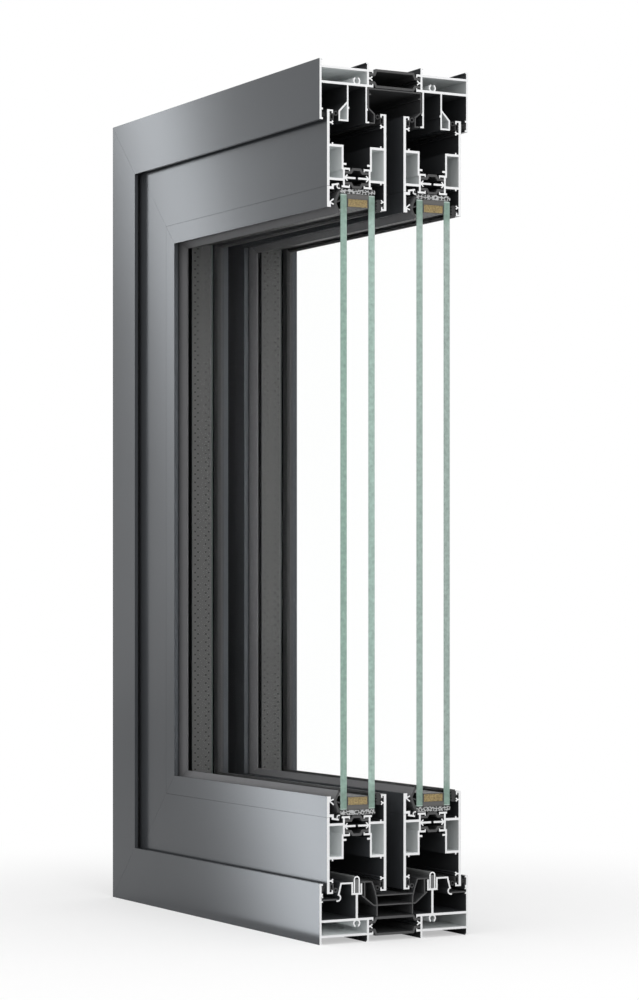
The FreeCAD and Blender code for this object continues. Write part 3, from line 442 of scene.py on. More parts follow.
def chamber_mask(tree, edge, face, chamber):
    """Mask of one closed chamber of a section."""
    (u_low, u_high, v_low, v_high), slant = chamber
    mask = group_node(
        tree, "window", U=edge, V=face, U_Low=u_low, U_High=u_high, V_Low=v_low, V_High=v_high)["Mask"]
    if slant:
        slope, limit = slant
        lean = math_node(tree, "MULTIPLY_ADD", edge, slope, face)
        mask = math_node(tree, "MULTIPLY", mask, math_node(tree, "GREATER_THAN", lean, limit))
    return mask


def painted_section(name, colours, middle, half_depth, painted, *chambers):
    """Aluminium section: paint outside, dark paint and painted shade in pockets, bare metal at the saw cut,
    and bare metal in chambers with painted light and shade.

    painted holds the places from the outer edge below and above which a face is outside.
    """
    made, tree, shader = material(name)
    spot = group_node(tree, "section_place", Middle_Y=middle, Half_Depth=half_depth)
    edge, face = spot["From Edge"], spot["From Face"]
    powder = group_node(tree, "powder_coat")
    lines = group_node(tree, "die_lines")
    marks = group_node(tree, "saw_marks")
    sawn = sawn_mask(tree)
    skin = folded(tree, "MAXIMUM", [
        math_node(tree, "LESS_THAN", face, SKIN), math_node(tree, "LESS_THAN", edge, painted[0]),
        math_node(tree, "GREATER_THAN", edge, painted[1])])
    bare = folded(tree, "MAXIMUM", [chamber_mask(tree, edge, face, chamber) for chamber in chambers])
    # Painted light makes the chamber metal lighter away from the cut, and painted shade makes it darker
    # towards the rear
    painted_inner_light = map_range(tree, spot["From Cut"], 0.0, MILL_LIGHT_REACH, 1.0, MILL_PAINTED_LIGHT)
    front, back = (depth - middle for depth in MILL_SHADE_DEPTHS)
    backward = map_range(tree, spot["Behind"], front, back, 1.0, MILL_PAINTED_SHADE)
    mill = tinted(tree, colours.mill, folded(tree, "MULTIPLY", [lines["Tone"], painted_inner_light, backward]))
    # Outer faces get the paint, the open pockets the dark paint with painted shade
    colour = tinted(tree, mix_colour(tree, skin, colours.pocket_paint_and_shade, colours.paint), powder["Tone"])
    colour = mix_colour(tree, bare, colour, mill)
    colour = mix_colour(tree, sawn, colour, tinted(tree, colours.saw_cut, marks["Tone"]))
    dull = math_node(tree, "MULTIPLY_ADD", skin, -RECESS_ROUGH, RECESS_ROUGH)
    bright = math_node(tree, "MULTIPLY", math_node(tree, "MAXIMUM", bare, sawn), BARE_ROUGH)
    more = math_node(tree, "MAXIMUM", dull, bright)
    roughness = folded(tree, "ADD", [powder["Roughness"], PAINT_ROUGH, more])
    height = math_node(tree, "MULTIPLY_ADD", sawn, marks["Height"], powder["Height"])
    dress(tree, shader, colour, roughness, height, 0.12, 0.0001)
    shader.inputs["IOR"].default_value = 1.36
    shader.inputs["Specular Tint"].default_value = (0.84, 0.92, 1.0, 1.0)
    return made


def plastic_finish(name, body, cut):
    """Dark plastic with die lines, paler and matt where it was sawn."""
    made, tree, shader = material(name)
    lines = group_node(tree, "die_lines", Fineness=1400.0)
    marks = group_node(tree, "saw_marks", Strength=0.8)
    sawn = sawn_mask(tree)
    colour = mix_colour(tree, sawn, tinted(tree, body, lines["Tone"]), tinted(tree, cut, marks["Tone"]))
    roughness = math_node(tree, "MULTIPLY_ADD", sawn, 0.2, 0.55)
    dress(tree, shader, colour, roughness, lines["Height"], 0.15, 0.0001)
    return made


def rubber_finish(name, colours, middle):
    """Matt rubber with a faint bloom of dust; the front wedge gasket is the paler one."""
    made, tree, shader = material(name)
    place = coordinate(tree)
    bloom = noise_node(tree, place, 160.0, 4.0)
    spot = group_node(tree, "section_place", Middle_Y=middle)
    front = math_node(tree, "LESS_THAN", spot["Behind"], 0.0)
    wedge = math_node(tree, "MULTIPLY", front, math_node(tree, "GREATER_THAN", spot["From Edge"], WEDGE_EDGE))
    colour = mix_colour(tree, bloom, colours.rubber, shade(colours.rubber, 1.8))
    colour = mix_colour(tree, wedge, colour, shade(colours.rubber, 4.5))
    cut = mix_colour(tree, front, shade(colours.rubber, 0.5), shade(colours.rubber, 1.3))
    colour = mix_colour(tree, sawn_mask(tree), colour, cut)
    roughness = math_node(tree, "MULTIPLY_ADD", bloom, 0.2, 0.6)
    dress(tree, shader, colour, roughness, noise_node(tree, place, 1800.0, 2.0), 0.15, 0.0001)
    return made


def brush_finish():
    """Black fibres of the pile seals."""
    made, tree, shader = material("pile_fibre")
    along = vector_node(tree, "MULTIPLY", coordinate(tree), (1.0, 0.05, 1.0))
    fibres = noise_node(tree, along, 5200.0, 2.0)
    colour = mix_colour(tree, fibres, (0.006, 0.006, 0.006), (0.05, 0.05, 0.052))
    dress(tree, shader, colour, 0.9, fibres, 0.5, 0.0003)
    shader.inputs["Sheen Weight"].default_value = 0.3
    shader.inputs["Sheen Roughness"].default_value = 0.5
    return made


def spacer_finish(colours):
    """Anodised spacer, with a double row of pin holes along both sides of the face between the panes."""
    made, tree, shader = material("spacer_bar")
    x, y, z = axes_of(tree, coordinate(tree))
    facing_x, _, facing_z = axes_of(tree, coordinate(tree, "Normal"))
    upright = math_node(tree, "MULTIPLY", z, math_node(tree, "ABSOLUTE", facing_x))
    level = math_node(tree, "MULTIPLY", x, math_node(tree, "ABSOLUTE", facing_z))
    along = folded(tree, "ADD", [upright, level, 1.0])
    dots, rims = [], []
    for sash in SASHES:
        low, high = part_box(sash + "_spacer")
        off = math_node(tree, "ABSOLUTE", math_node(tree, "SUBTRACT", y, (high[1] + low[1]) / 2.0))
        from_side = math_node(tree, "SUBTRACT", (high[1] - low[1]) / 2.0, off)
        for row, shift in HOLE_ROWS:
            away = math_node(tree, "ABSOLUTE", math_node(tree, "SUBTRACT", from_side, row))
            lane = math_node(tree, "LESS_THAN", away, HOLE_LANE)
            step = math_node(tree, "PINGPONG", math_node(tree, "ADD", along, shift), HOLE_PITCH / 2.0)
            for marks, reach in ((dots, HOLE_REACH), (rims, RIM_REACH)):
                marks.append(math_node(tree, "MULTIPLY", lane, math_node(tree, "LESS_THAN", step, reach)))
    open_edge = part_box("front_sash_spacer")[0][2] + SPACER_HEIGHT - TOUCH
    open_face = math_node(tree, "GREATER_THAN", group_node(tree, "section_place")["From Edge"], open_edge)
    dots = math_node(tree, "MULTIPLY", folded(tree, "MAXIMUM", dots), open_face)
    rims = math_node(tree, "SUBTRACT", folded(tree, "MAXIMUM", rims), dots)
    rims = math_node(tree, "MULTIPLY", rims, open_face)
    lines = group_node(tree, "die_lines", Fineness=1800.0)
    colour = tinted(tree, colours.spacer, lines["Tone"])
    colour = mix_colour(tree, dots, colour, (0.016, 0.016, 0.016))
    colour = mix_colour(tree, rims, colour, shade(colours.spacer, 1.2))
    colour = mix_colour(tree, sawn_mask(tree), colour, colours.plastic_cut)
    roughness = math_node(tree, "MULTIPLY_ADD", dots, 0.3, 0.5)
    dress(tree, shader, colour, roughness, math_node(tree, "SUBTRACT", 1.0, dots), 0.4, 0.0002)
    return made


def grain_finish(colours):
    """Tan drying grains, with painted light and shade that round them."""
    made, tree, shader = material("drying_grains")
    place = coordinate(tree)
    cells = tree.nodes.new("ShaderNodeTexVoronoi")
    cells.inputs["Scale"].default_value = 850.0
    feed(tree, cells.inputs["Vector"], place)
    # Painted light and shade: each cell is lighter in its middle and darker towards its edges, as shade
    # between the grains
    tone = math_node(tree, "MULTIPLY_ADD", cells.outputs["Distance"], -0.8, 1.2)
    toasted = shade(colours.grains, 0.75, 0.72, 0.7)
    warm = mix_colour(tree, noise_node(tree, place, 700.0), colours.grains, toasted)
    height = math_node(tree, "SUBTRACT", 1.0, cells.outputs["Distance"])
    dress(tree, shader, tinted(tree, warm, tone), 0.85, height, 0.6, 0.0004)
    return made


def sealant_finish():
    """Dark grey sealant round the unit, with trowel waves, and black butyl beside the spacer."""
    made, tree, shader = material("edge_sealant")
    wave = noise_node(tree, coordinate(tree), 220.0)
    colour = mix_colour(tree, wave, (0.05, 0.05, 0.05), (0.075, 0.073, 0.07))
    colour = mix_colour(tree, sawn_mask(tree), colour, (0.085, 0.082, 0.078))
    spot = group_node(tree, "section_place")
    butyl = math_node(tree, "GREATER_THAN", spot["From Edge"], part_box("front_sash_spacer")[0][2])
    colour = mix_colour(tree, butyl, colour, (0.012, 0.013, 0.014))
    dress(tree, shader, colour, 0.6, wave, 0.3, 0.0003)
    return made


def pad_finish(colours):
    """Cellular pad: pale curled walls round dark cells."""
    made, tree, shader = material("setting_pad")
    place = coordinate(tree)
    warp = noise_node(tree, place, 500.0, 2.0, output="Color")
    curl = vector_node(tree, "MULTIPLY", warp, (0.0012, 0.0012, 0.0012))
    cells = tree.nodes.new("ShaderNodeTexVoronoi")
    cells.feature = "DISTANCE_TO_EDGE"
    cells.inputs["Scale"].default_value = 380.0
    cells.inputs["Randomness"].default_value = 0.9
    feed(tree, cells.inputs["Vector"], vector_node(tree, "ADD", place, curl))
    wall = math_node(tree, "LESS_THAN", cells.outputs["Distance"], 0.13)
    pale = mix_colour(tree, noise_node(tree, place, 1500.0), colours.pad, shade(colours.pad, 0.45))
    dress(tree, shader, mix_colour(tree, wall, (0.03, 0.03, 0.03), pale), 0.8, wall, 0.6, 0.0004)
    return made


def rail_finish(colours):
    """Rail cap: dark grey sides, lighter on top, partly as polish where the rollers run and partly as painted
    light, bright at the saw cut.
    """
    made, tree, shader = material("roller_rail")
    lines = group_node(tree, "die_lines", Fineness=1500.0)
    _, _, facing_z = axes_of(tree, coordinate(tree, "Normal"))
    # The top is lighter, partly as polish where the rollers run and partly as painted light from above
    top = math_node(tree, "GREATER_THAN", facing_z, 0.8)
    colour = tinted(tree, mix_colour(tree, top, colours.rail, shade(colours.rail, 1.7)), lines["Tone"])
    colour = mix_colour(tree, sawn_mask(tree), colour, colours.saw_cut)
    roughness = math_node(tree, "MULTIPLY_ADD", top, -0.15, 0.45)
    dress(tree, shader, colour, roughness, lines["Height"], 0.2, 0.0001)
    shader.inputs["Metallic"].default_value = 0.3
    return made


def core_finish():
    """Grey damping core of the rail."""
    made, tree, shader = material("rail_core")
    speck = noise_node(tree, coordinate(tree), 900.0)
    colour = mix_colour(tree, speck, (0.1, 0.102, 0.104), (0.16, 0.163, 0.165))
    dress(tree, shader, colour, 0.75, speck, 0.3, 0.0002)
    return made


def carriage_finish():
    """Zinc-plated steel of the roller housing."""
    made, tree, shader = material("carriage_steel")
    place = coordinate(tree)
    brushed = noise_node(tree, vector_node(tree, "MULTIPLY", place, (0.04, 1.0, 1.0)), 1600.0)
    spangle = noise_node(tree, place, 60.0)
    colour = mix_colour(tree, spangle, (0.42, 0.43, 0.44), (0.55, 0.56, 0.58))
    roughness = math_node(tree, "MULTIPLY_ADD", brushed, 0.25, 0.25)
    dress(tree, shader, colour, roughness, brushed, 0.1, 0.0001)
    shader.inputs["Metallic"].default_value = 0.9
    return made


def roller_finish():
    """Moulded off-white rollers, greyed where they run."""
    made, tree, shader = material("roller_plastic")
    worn = noise_node(tree, coordinate(tree), 320.0, 4.0)
    colour = mix_colour(tree, worn, (0.62, 0.61, 0.57), (0.42, 0.415, 0.4))
    dress(tree, shader, colour, 0.5, worn, 0.15, 0.0002)
    return made


def clear_glass():
    """Clear float glass; shadow and diffuse rays go straight through it, as light does."""
    made, tree, shader = material("clear_glass")
    shader.inputs["Base Color"].default_value = (0.998, 1.0, 0.999, 1.0)
    shader.inputs["Transmission Weight"].default_value = 1.0
    shader.inputs["IOR"].default_value = 1.02
    smear = noise_node(tree, coordinate(tree), 14.0, 4.0)
    feed(tree, shader.inputs["Roughness"], math_node(tree, "MULTIPLY", smear, 0.01))
    paths = tree.nodes.new("ShaderNodeLightPath").outputs
    passing = math_node(tree, "MAXIMUM", paths["Is Shadow Ray"], paths["Is Diffuse Ray"])
    clear = tree.nodes.new("ShaderNodeBsdfTransparent")
    surface(tree, mix_shaders(tree, passing, shader.outputs[0], clear.outputs[0]))
    return made


def glass_edge_finish(colours):
    """Ground edge of a pane: green, with painted shade in the rebate, a painted highlight at its end, and a
    tint of its own in the front pane.
    """
    made, tree, shader = material("glass_edge")
    place = coordinate(tree)
    streaks = noise_node(tree, vector_node(tree, "MULTIPLY", place, (1.0, 1.0, 0.02)), 700.0)
    ground = noise_node(tree, place, 2200.0)
    spot = group_node(tree, "section_place")
    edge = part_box("front_sash_front_pane")[0][2]
    colour = mix_colour(tree, streaks, colours.glass_edge, shade(colours.glass_edge, 0.78, 0.86, 0.82))
    # Painted shade: the pane's edge is darker in the rebate and lightens beyond it
    clear = map_range(tree, spot["From Edge"], edge + REBATE_SHADE_FADE[0], edge + REBATE_SHADE_FADE[1])
    light = math_node(tree, "MULTIPLY_ADD", clear, 1.0 - REBATE_PAINTED_SHADE, REBATE_PAINTED_SHADE)
    backward = map_range(tree, spot["Behind"], *TINT_DEPTHS)
    inner = math_node(tree, "GREATER_THAN", spot["Behind"], FIRST_PANE_END)
    tint = mix_colour(tree, inner, FIRST_TINT, mix_colour(tree, backward, SECOND_TINT, LAST_TINT))
    colour = mix_colour(tree, clear, colour, mix_colour(tree, 1.0, colour, tint, "MULTIPLY"))
    blotch = math_node(tree, "MULTIPLY_ADD", noise_node(tree, place, 320.0, 4.0, 0.7), 1.1, 0.45)
    colour = tinted(tree, colour, math_node(tree, "MULTIPLY", light, blotch))
    # Painted highlight: a pale band at the very end of the pane's edge
    end = math_node(tree, "LESS_THAN", spot["From Edge"], edge + PANE_END_HIGHLIGHT)
    colour = mix_colour(tree, math_node(tree, "MULTIPLY", end, 0.35), colour, (0.75, 0.86, 0.82))
    roughness = math_node(tree, "MULTIPLY_ADD", ground, 0.2, 0.25)
    dress(tree, shader, colour, roughness, ground, 0.15, 0.0001)
    return made


def floor_finish(colour):
    """Pale matt floor that fades into white away from the sample, and sends less light up than it shows."""
    made, tree, shader = material("studio_floor")
    place = coordinate(tree)
    shader.inputs["Roughness"].default_value = 0.8
    shader.inputs["Specular IOR Level"].default_value = 0.0
    cloud = noise_node(tree, place, 30.0, 4.0)
    feed(tree, shader.inputs["Base Color"], mix_colour(tree, cloud, colour, shade(colour, 0.985)))
    dim = tree.nodes.new("ShaderNodeBsdfDiffuse")
    feed(tree, dim.inputs["Color"], FLOOR_BOUNCE)
    glow = tree.nodes.new("ShaderNodeEmission")
    paths = tree.nodes.new("ShaderNodeLightPath").outputs
    far = vector_node(tree, "LENGTH", place)
    white = map_range(tree, far, *FLOOR_FADE, FLOOR_WHITE, 1.0, "SMOOTHSTEP")
    seen = math_node(tree, "MAXIMUM", paths["Is Camera Ray"], paths["Is Transmission Ray"])
    matt = mix_shaders(tree, paths["Is Diffuse Ray"], shader.outputs[0], dim.outputs[0])
    surface(tree, mix_shaders(tree, math_node(tree, "MULTIPLY", seen, white), matt, glow.outputs[0]))
    return made


# Mesh helpers


def new_object(name, shape, *materials):
    """Object from a bmesh, which is freed."""
    bmesh.ops.recalc_face_normals(shape, faces=shape.faces)
    mesh = bpy.data.meshes.new(name)
    shape.to_mesh(mesh)
    shape.free()
    for item in materials:
        mesh.materials.append(item)
    made = bpy.data.objects.new(name, mesh)
    bpy.context.scene.collection.objects.link(made)
    return made


def new_piece(name, shape, body, slot_name, *materials):
    """Object from a bmesh with the given finishes, riding a body; its slot name is not used."""
    piece = new_object(name, shape, *materials)
    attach(piece, body)
    return piece


def run_round(shape, outline, end=0.0):
    """Sweep a closed outline of (y, t) points along head, jamb and sill, mitred at the corners.

    t is the distance from the outer edge of the frame, and end is how far the run stops short of the cut.
    """
    stations = []
    for y, t in outline:
        stations.append([
            shape.verts.new((CUT_X - end, y, HEIGHT - t)), shape.verts.new((JAMB_X + t, y, HEIGHT - t)),
            shape.verts.new((JAMB_X + t, y, t)), shape.verts.new((CUT_X - end, y, t))])
    count = len(outline)
    for i in range(count):
        here, there = stations[i], stations[(i + 1) % count]
        for k in range(3):
            shape.faces.new((here[k], here[k + 1], there[k + 1], there[k]))
    shape.faces.new([column[0] for column in stations])
    shape.faces.new([column[3] for column in reversed(stations)])


def circle_outline(y, t, radius, sides):
    """Round outline about a place in the section."""
    turns = [2.0 * math.pi * i / sides for i in range(sides)]
    return [(y + radius * math.cos(turn), t + radius * math.sin(turn)) for turn in turns]


def sash_depth(sash):
    """Middle of a sash's depth, and half of that depth."""
    low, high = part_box(sash + "_stile")
    return (low[1] + high[1]) / 2.0, (high[1] - low[1]) / 2.0


def sash_nodes(*kinds):
    """Names of the given pieces in both sashes."""
    return [sash + "_" + kind for sash in SASHES for kind in kinds]


def give(nodes, finish):
    """Put one finish on CAD nodes."""
    for name in nodes:
        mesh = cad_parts[name].data
        mesh.materials.clear()
        mesh.materials.append(finish)


# Operators


class DOORSAMPLE_OT_frame_finish(bpy.types.Operator):
    """Paint the frame's profiles and finish its plastic, rails and cores"""

    bl_idname = "doorsample.frame_finish"
    bl_label = "Frame finish"

    def execute(self, context):
        colours = context.scene.doorsample_colours
        painted = (TOUCH, FLANGE - SKIN)
        for name, sides, chambers in (
                ("frame_paint", ("sill",), (FLANGE_CHAMBER,)),
                ("head_paint", ("head", "jamb"), (FLANGE_CHAMBER, HOOK_CHAMBER))):
            metal = painted_section(name, colours, 0.0, HALF_DEPTH, painted, *chambers)
            give([side + half + "_profile" for side in sides for half in ("_front", "_rear")], metal)
        plastic = plastic_finish("dark_plastic", colours.plastic, colours.plastic_cut)
        give(["head_liner", "jamb_liner", "sill_centre_chamber", "sill_closing_strips"], plastic)
        strip = plastic_finish("strip_plastic", shade(colours.plastic, 0.7), colours.plastic_cut)
        give(["frame_thermal_strips"] + sash_nodes("thermal_strips"), strip)
        give(["front_rail_cap", "rear_rail_cap"], rail_finish(colours))
        give(["rail_cores"], core_finish())
        return {"FINISHED"}


class DOORSAMPLE_OT_sash_finish(bpy.types.Operator):
    """Paint the sashes and finish their gaskets, seals, spacers, sealant and rollers"""

    bl_idname = "doorsample.sash_finish"
    bl_label = "Sash finish"

    def execute(self, context):
        colours = context.scene.doorsample_colours
        for sash in SASHES:
            middle, half = sash_depth(sash)
            painted = (0.0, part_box(sash + "_stile")[1][0] - JAMB_X - SKIN)
            finish = painted_section(sash + "_paint", colours, middle, half, painted, SASH_CHAMBER)
            for kind in ("top_rail", "stile", "bottom_rail", "glazing_beads"):
                give([sash + "_" + kind], finish)
            rubber = rubber_finish(sash + "_rubber", colours, middle)
            give([sash + "_edge_seals", sash + "_glazing_gaskets"], rubber)
        give(sash_nodes("spacer"), spacer_finish(colours))
        give(sash_nodes("edge_sealant"), sealant_finish())
        give(sash_nodes("roller_carriage"), carriage_finish())
        give(sash_nodes("rollers"), roller_finish())
        return {"FINISHED"}


class DOORSAMPLE_OT_glass(bpy.types.Operator):
    """Make the four panes, with a ground arris along every edge"""

    bl_idname = "doorsample.glass"
    bl_label = "Glass panes"

    def execute(self, context):
        arris = context.scene.doorsample_sizes.arris
        finishes = (clear_glass(), glass_edge_finish(context.scene.doorsample_colours))
        for sash in SASHES:
            for kind in ("front_pane", "rear_pane"):
                low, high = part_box(sash + "_" + kind)
                shape = bmesh.new()
                bmesh.ops.create_cube(shape, size=1.0)
                for point in shape.verts:
                    point.co = Vector([low[i] if point.co[i] < 0 else high[i] for i in range(3)])
                bmesh.ops.bevel(shape, geom=list(shape.edges), offset=arris, segments=1, affect="EDGES")
                for item in shape.faces:
                    item.normal_update()
                    item.material_index = 0 if abs(item.normal.y) > 0.99 else 1
                piece = new_piece(sash + "_" + kind + "_glass", shape, sash, "glass", *finishes)
                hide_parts(sash + "_" + kind)
        return {"FINISHED"}


class DOORSAMPLE_OT_bead_cords(bpy.types.Operator):
    """Lay a round rubber cord in the hook of each glazing bead"""

    bl_idname = "doorsample.bead_cords"
    bl_label = "Bead cords"

    def execute(self, context):
        radius = context.scene.doorsample_sizes.cord_radius
        for sash in SASHES:
            finish = rubber_finish(sash + "_cord", context.scene.doorsample_colours, sash_depth(sash)[0])
            low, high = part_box(sash + "_glazing_beads")
            shape = bmesh.new()
            run_round(shape, circle_outline(high[1] - HOOK_BACK, low[2] + HOOK_REACH, radius, 16))
            for item in shape.faces:
                item.smooth = len(item.verts) == 4
            new_piece(sash + "_bead_cord", shape, sash, "seal_rubber", finish)
        return {"FINISHED"}


class DOORSAMPLE_OT_pile_seals(bpy.types.Operator):
    """Plant the bristles of the pile seals between the frame's flanges and the sashes"""

    bl_idname = "doorsample.pile_seals"
    bl_label = "Pile seals"

    def execute(self, context):
        pitch = context.scene.doorsample_sizes.bristle
        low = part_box("frame_pile_seals")[0]
        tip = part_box("front_sash_stile")[0][1] - TIP_GAP
        chance = random.Random(7)
        shape = bmesh.new()
        for side in (1.0, -1.0):
            self.backing(shape, low[1], low[2], side)
            for row in range(BRUSH_ROWS):
                t = low[2] + BRUSH_INSET + BRUSH_WIDTH * (row + 0.5) / BRUSH_ROWS
                self.row(shape, low[1], tip, t, side, pitch, chance)
        piece = new_piece("frame_pile_brushes", shape, "frame", "pile", brush_finish())
        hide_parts("frame_pile_seals")
        return {"FINISHED"}

    def backing(self, shape, root, low, side):
        """Woven strip in the groove that holds the bristles."""
        back = root + BACKING
        high = low + BRUSH_WIDTH + 2.0 * BRUSH_INSET
        run_round(shape, [(side * root, low), (side * back, low), (side * back, high), (side * root, high)])

    def row(self, shape, root, tip, t, side, pitch, chance):
        """One row of tufts round the frame."""
        reach = tip - root
        left = JAMB_X + t
        places = []
        for z in (HEIGHT - t, t):
            count = int((CUT_X - left) / pitch)
            places += [(left + pitch * (i + 0.5), z, 1.0, 0.0) for i in range(count)]
        count = int((HEIGHT - 2.0 * t) / pitch)
        places += [(left, t + pitch * (i + 0.5), 0.0, 1.0) for i in range(count)]
        wide = pitch * TUFT_WIDTH
        thick = BRUSH_WIDTH / BRUSH_ROWS / 2.0
        for x, z, along_x, along_z in places:
            dx = wide * along_x + thick * along_z
            dz = wide * along_z + thick * along_x
            lean = pitch * chance.uniform(-0.35, 0.35)
            high = reach * chance.uniform(0.9, 1.0)
            ring = [shape.verts.new((x + a * dx, side * root, z + b * dz))
                    for a, b in ((-0.5, -0.5), (0.5, -0.5), (0.5, 0.5), (-0.5, 0.5))]
            end_x = min(x + lean * along_x, CUT_X)
            point = shape.verts.new((end_x, side * (root + high), z + lean * along_z))
            for i in range(4):
                shape.faces.new((ring[i], ring[(i + 1) % 4], point))


class DOORSAMPLE_OT_drying_grains(bpy.types.Operator):
    """Fill the spacers, with loose grains showing at the saw cut"""

    bl_idname = "doorsample.drying_grains"
    bl_label = "Drying grains"

    def execute(self, context):
        size = context.scene.doorsample_sizes.grain
        finish = grain_finish(context.scene.doorsample_colours)
        chance = random.Random(11)
        for sash in SASHES:
            low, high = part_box(sash + "_desiccant")
            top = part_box(sash + "_spacer")[0][2] + SPACER_HEIGHT - SPACER_WALL
            shape = bmesh.new()
            outline = [(low[1], low[2]), (high[1], low[2]), (high[1], top), (low[1], top)]
            run_round(shape, outline, size * GRAIN_SET_BACK)
            for flip in (False, True):
                self.end(shape, low[1], high[1], low[2], top, flip, size, chance)
            piece = new_piece(sash + "_drying_grains", shape, sash, "desiccant", finish)
            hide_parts(sash + "_desiccant")
        return {"FINISHED"}

    def end(self, shape, y_low, y_high, t_low, t_high, flip, size, chance):
        """Grains packed in the opening of one sawn end."""
        columns = int((y_high - y_low) / size)
        rows = int((t_high - t_low) / (size * ROW_PACKING))
        for row in range(rows):
            for column in range(columns):
                radius = size * chance.uniform(0.44, 0.56)
                shift = 0.25 * size if row % 2 else -0.25 * size
                y = y_low + (column + 0.5) * (y_high - y_low) / columns + shift
                t = t_low + (row + 0.5) * (t_high - t_low) / rows
                y += size * chance.uniform(-0.1, 0.1)
                t += size * chance.uniform(-0.08, 0.08)
                y = min(max(y, y_low + radius), y_high - radius)
                t = min(max(t, t_low + radius), t_high - radius)
                made = bmesh.ops.create_icosphere(shape, subdivisions=1, radius=radius)
                z = HEIGHT - t if flip else t
                for point in made["verts"]:
                    point.co += Vector((CUT_X - radius - size * chance.uniform(0.0, 0.02), y, z))


class DOORSAMPLE_OT_setting_pads(bpy.types.Operator):
    """Make the cellular pads round each glass unit, with uneven moulded faces"""

    bl_idname = "doorsample.setting_pads"
    bl_label = "Setting pads"

    def execute(self, context):
        finish = pad_finish(context.scene.doorsample_colours)
        chance = random.Random(5)
        for sash in SASHES:
            low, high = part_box(sash + "_setting_pads")
            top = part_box(sash + "_front_pane")[0][2] - PAD_GAP
            lower, upper = [], []
            for i in range(PAD_STEPS + 1):
                y = low[1] + (high[1] - low[1]) * i / PAD_STEPS
                round_end = PAD_ROUND if i in (0, PAD_STEPS) else 0.0
                lower.append((y, low[2] + round_end + chance.uniform(0.0, 0.0007)))
                upper.append((y, top - round_end - chance.uniform(0.0, 0.0004)))
            shape = bmesh.new()
            run_round(shape, lower + upper[::-1])
            piece = new_piece(sash + "_pads", shape, sash, "pad", finish)
            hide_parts(sash + "_setting_pads")
        return {"FINISHED"}


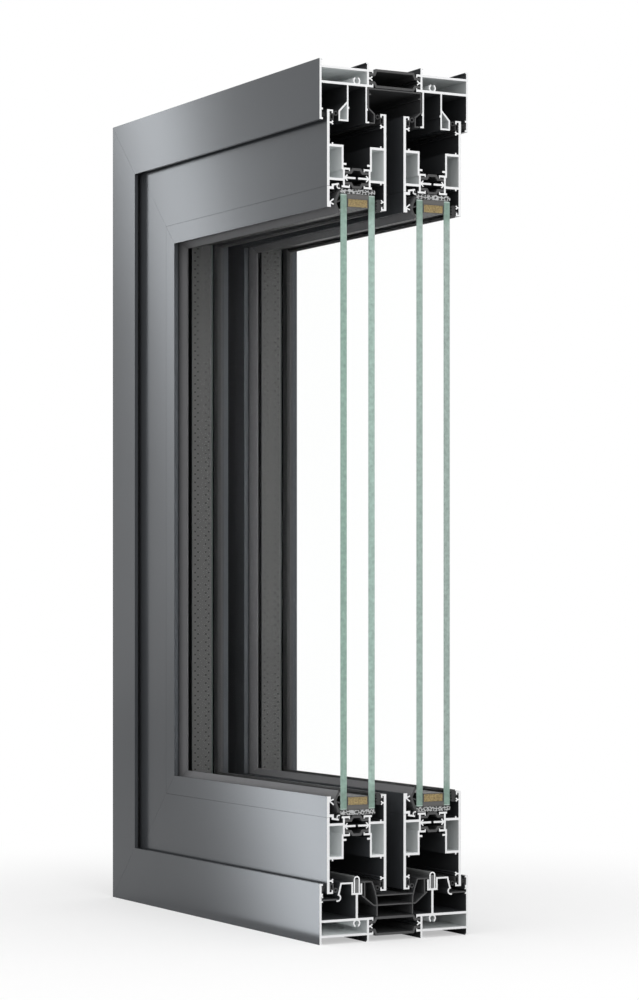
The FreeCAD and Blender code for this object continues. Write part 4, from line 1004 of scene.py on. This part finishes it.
class DOORSAMPLE_OT_stage(bpy.types.Operator):
    """Floor, studio lights, world and camera"""

    bl_idname = "doorsample.stage"
    bl_label = "Studio"

    def execute(self, context):
        scene = context.scene
        self.floor(scene)
        self.world(scene)
        self.lamps(scene)
        self.camera(scene)
        scene.view_settings.view_transform = "Standard"
        return {"FINISHED"}

    def floor(self, scene):
        """Wide floor under the sample."""
        shape = bmesh.new()
        bmesh.ops.create_grid(shape, x_segments=8, y_segments=8, size=scene.doorsample_sizes.floor_reach)
        new_object("studio_floor", shape, floor_finish(scene.doorsample_colours.floor))

    def world(self, scene):
        """White to the eye, to gloss and through glass; soft grey as light."""
        scene.world = bpy.data.worlds.new("studio_world")
        scene.world.use_nodes = True
        tree = scene.world.node_tree
        paths = tree.nodes.new("ShaderNodeLightPath").outputs
        seen = folded(tree, "MAXIMUM", [
            paths["Is Camera Ray"], paths["Is Glossy Ray"], paths["Is Transmission Ray"]])
        back = tree.nodes["Background"].inputs
        feed(tree, back["Color"], LAMP_WHITE)
        feed(tree, back["Strength"], math_node(tree, "MULTIPLY_ADD", seen, 1.0 - WORLD_LIGHT, WORLD_LIGHT))

    def lamps(self, scene):
        """Two soft panels, and two softly graded strips that only the satin paint mirrors."""
        self.lamp(scene, "overhead_panel", place=(0.3, -0.4, 2.4), facing=(-0.3, 0.4, -2.1),
                  width=2.0, height=2.0, radiance=1.11)
        self.lamp(scene, "cut_end_panel", place=(2.6, 0.0, 0.75), facing=(-2.4, 0.0, -0.4),
                  width=1.6, height=1.6, radiance=3.6)
        tall = self.lamp(scene, "tall_strip", place=(-0.519, -0.256, 0.55), facing=(0.908, 0.419, -0.1),
                         width=0.3, height=0.66, radiance=4.9, mirrored=True)
        self.grade(tall, along=(-0.437, 0.9, -0.199), middle=(-0.5065, -0.2615, 0.72), spread=0.029)
        low = self.lamp(scene, "low_strip", place=(0.06, -0.093, 0.062), facing=(0.0, 1.0, 0.0),
                        width=0.42, height=0.12, radiance=5.2, mirrored=True)
        self.grade(low, along=(1.0, 0.0, 0.59), middle=(0.19, -0.093, 0.0), spread=0.096)

    def lamp(self, scene, name, place, facing, width, height, radiance, mirrored=False):
        """Rectangular lamp of a given radiance; a mirrored one shows only in glossy reflections."""
        light = bpy.data.lights.new(name, "AREA")
        light.shape = "RECTANGLE"
        light.size = width
        light.size_y = height
        light.energy = radiance * math.pi * width * height
        light.color = STRIP_WHITE if mirrored else LAMP_WHITE
        item = bpy.data.objects.new(name, light)
        item.location = place
        item.rotation_euler = Vector(facing).to_track_quat("-Z", "Y").to_euler()
        item.visible_camera = False
        item.visible_diffuse = not mirrored
        item.visible_transmission = not mirrored
        scene.collection.objects.link(item)
        return light

    def grade(self, light, along, middle, spread):
        """Fade a lamp to both sides of a line through its middle, as a bell along one direction."""
        light.use_nodes = True
        tree = light.node_tree
        spot = tree.nodes.new("ShaderNodeNewGeometry").outputs["Position"]
        reach = vector_node(tree, "DOT_PRODUCT", vector_node(tree, "SUBTRACT", spot, middle), along)
        share = math_node(tree, "DIVIDE", reach, spread)
        bell = math_node(tree, "MULTIPLY", math_node(tree, "MULTIPLY", share, share), -0.5)
        emission = next(node for node in tree.nodes if node.type == "EMISSION")
        feed(tree, emission.inputs["Strength"], math_node(tree, "EXPONENT", bell))

    def camera(self, scene):
        """Camera at the photograph's viewing angle."""
        data = bpy.data.cameras.new("photo_camera")
        data.lens = CAMERA_LENS
        data.sensor_width = 36.0
        data.shift_x, data.shift_y = CAMERA_SHIFT
        data.clip_start = 0.05
        camera = bpy.data.objects.new("photo_camera", data)
        camera.location = CAMERA_PLACE
        camera.rotation_euler = (math.radians(90.0), 0.0, math.radians(CAMERA_TURN))
        scene.collection.objects.link(camera)
        scene.camera = camera


class DOORSAMPLE_PT_panel(bpy.types.Panel):
    """Operators and settings of the door sample"""

    bl_idname = "DOORSAMPLE_PT_panel"
    bl_label = "Door sample"
    bl_space_type = "VIEW_3D"
    bl_region_type = "UI"
    bl_category = "Door sample"

    def draw(self, context):
        for operator in OPERATORS:
            self.layout.operator(operator.bl_idname)
        for settings in (context.scene.doorsample_colours, context.scene.doorsample_sizes):
            for name in settings.bl_rna.properties.keys():
                if name not in ("rna_type", "name"):
                    self.layout.prop(settings, name)


OPERATORS = (
    DOORSAMPLE_OT_frame_finish, DOORSAMPLE_OT_sash_finish, DOORSAMPLE_OT_glass, DOORSAMPLE_OT_bead_cords,
    DOORSAMPLE_OT_pile_seals, DOORSAMPLE_OT_drying_grains, DOORSAMPLE_OT_setting_pads, DOORSAMPLE_OT_stage)
CLASSES = (DoorSampleColours, DoorSampleSizes) + OPERATORS + (DOORSAMPLE_PT_panel,)


def register():
    for item in CLASSES:
        bpy.utils.register_class(item)
    bpy.types.Scene.doorsample_colours = bpy.props.PointerProperty(type=DoorSampleColours)
    bpy.types.Scene.doorsample_sizes = bpy.props.PointerProperty(type=DoorSampleSizes)


def unregister():
    del bpy.types.Scene.doorsample_sizes
    del bpy.types.Scene.doorsample_colours
    for item in reversed(CLASSES):
        bpy.utils.unregister_class(item)


def main():
    register()
    bpy.ops.doorsample.frame_finish()
    bpy.ops.doorsample.sash_finish()
    bpy.ops.doorsample.glass()
    bpy.ops.doorsample.bead_cords()
    bpy.ops.doorsample.pile_seals()
    bpy.ops.doorsample.drying_grains()
    bpy.ops.doorsample.setting_pads()
    bpy.ops.doorsample.stage()


if __name__ == "__main__":
    main()
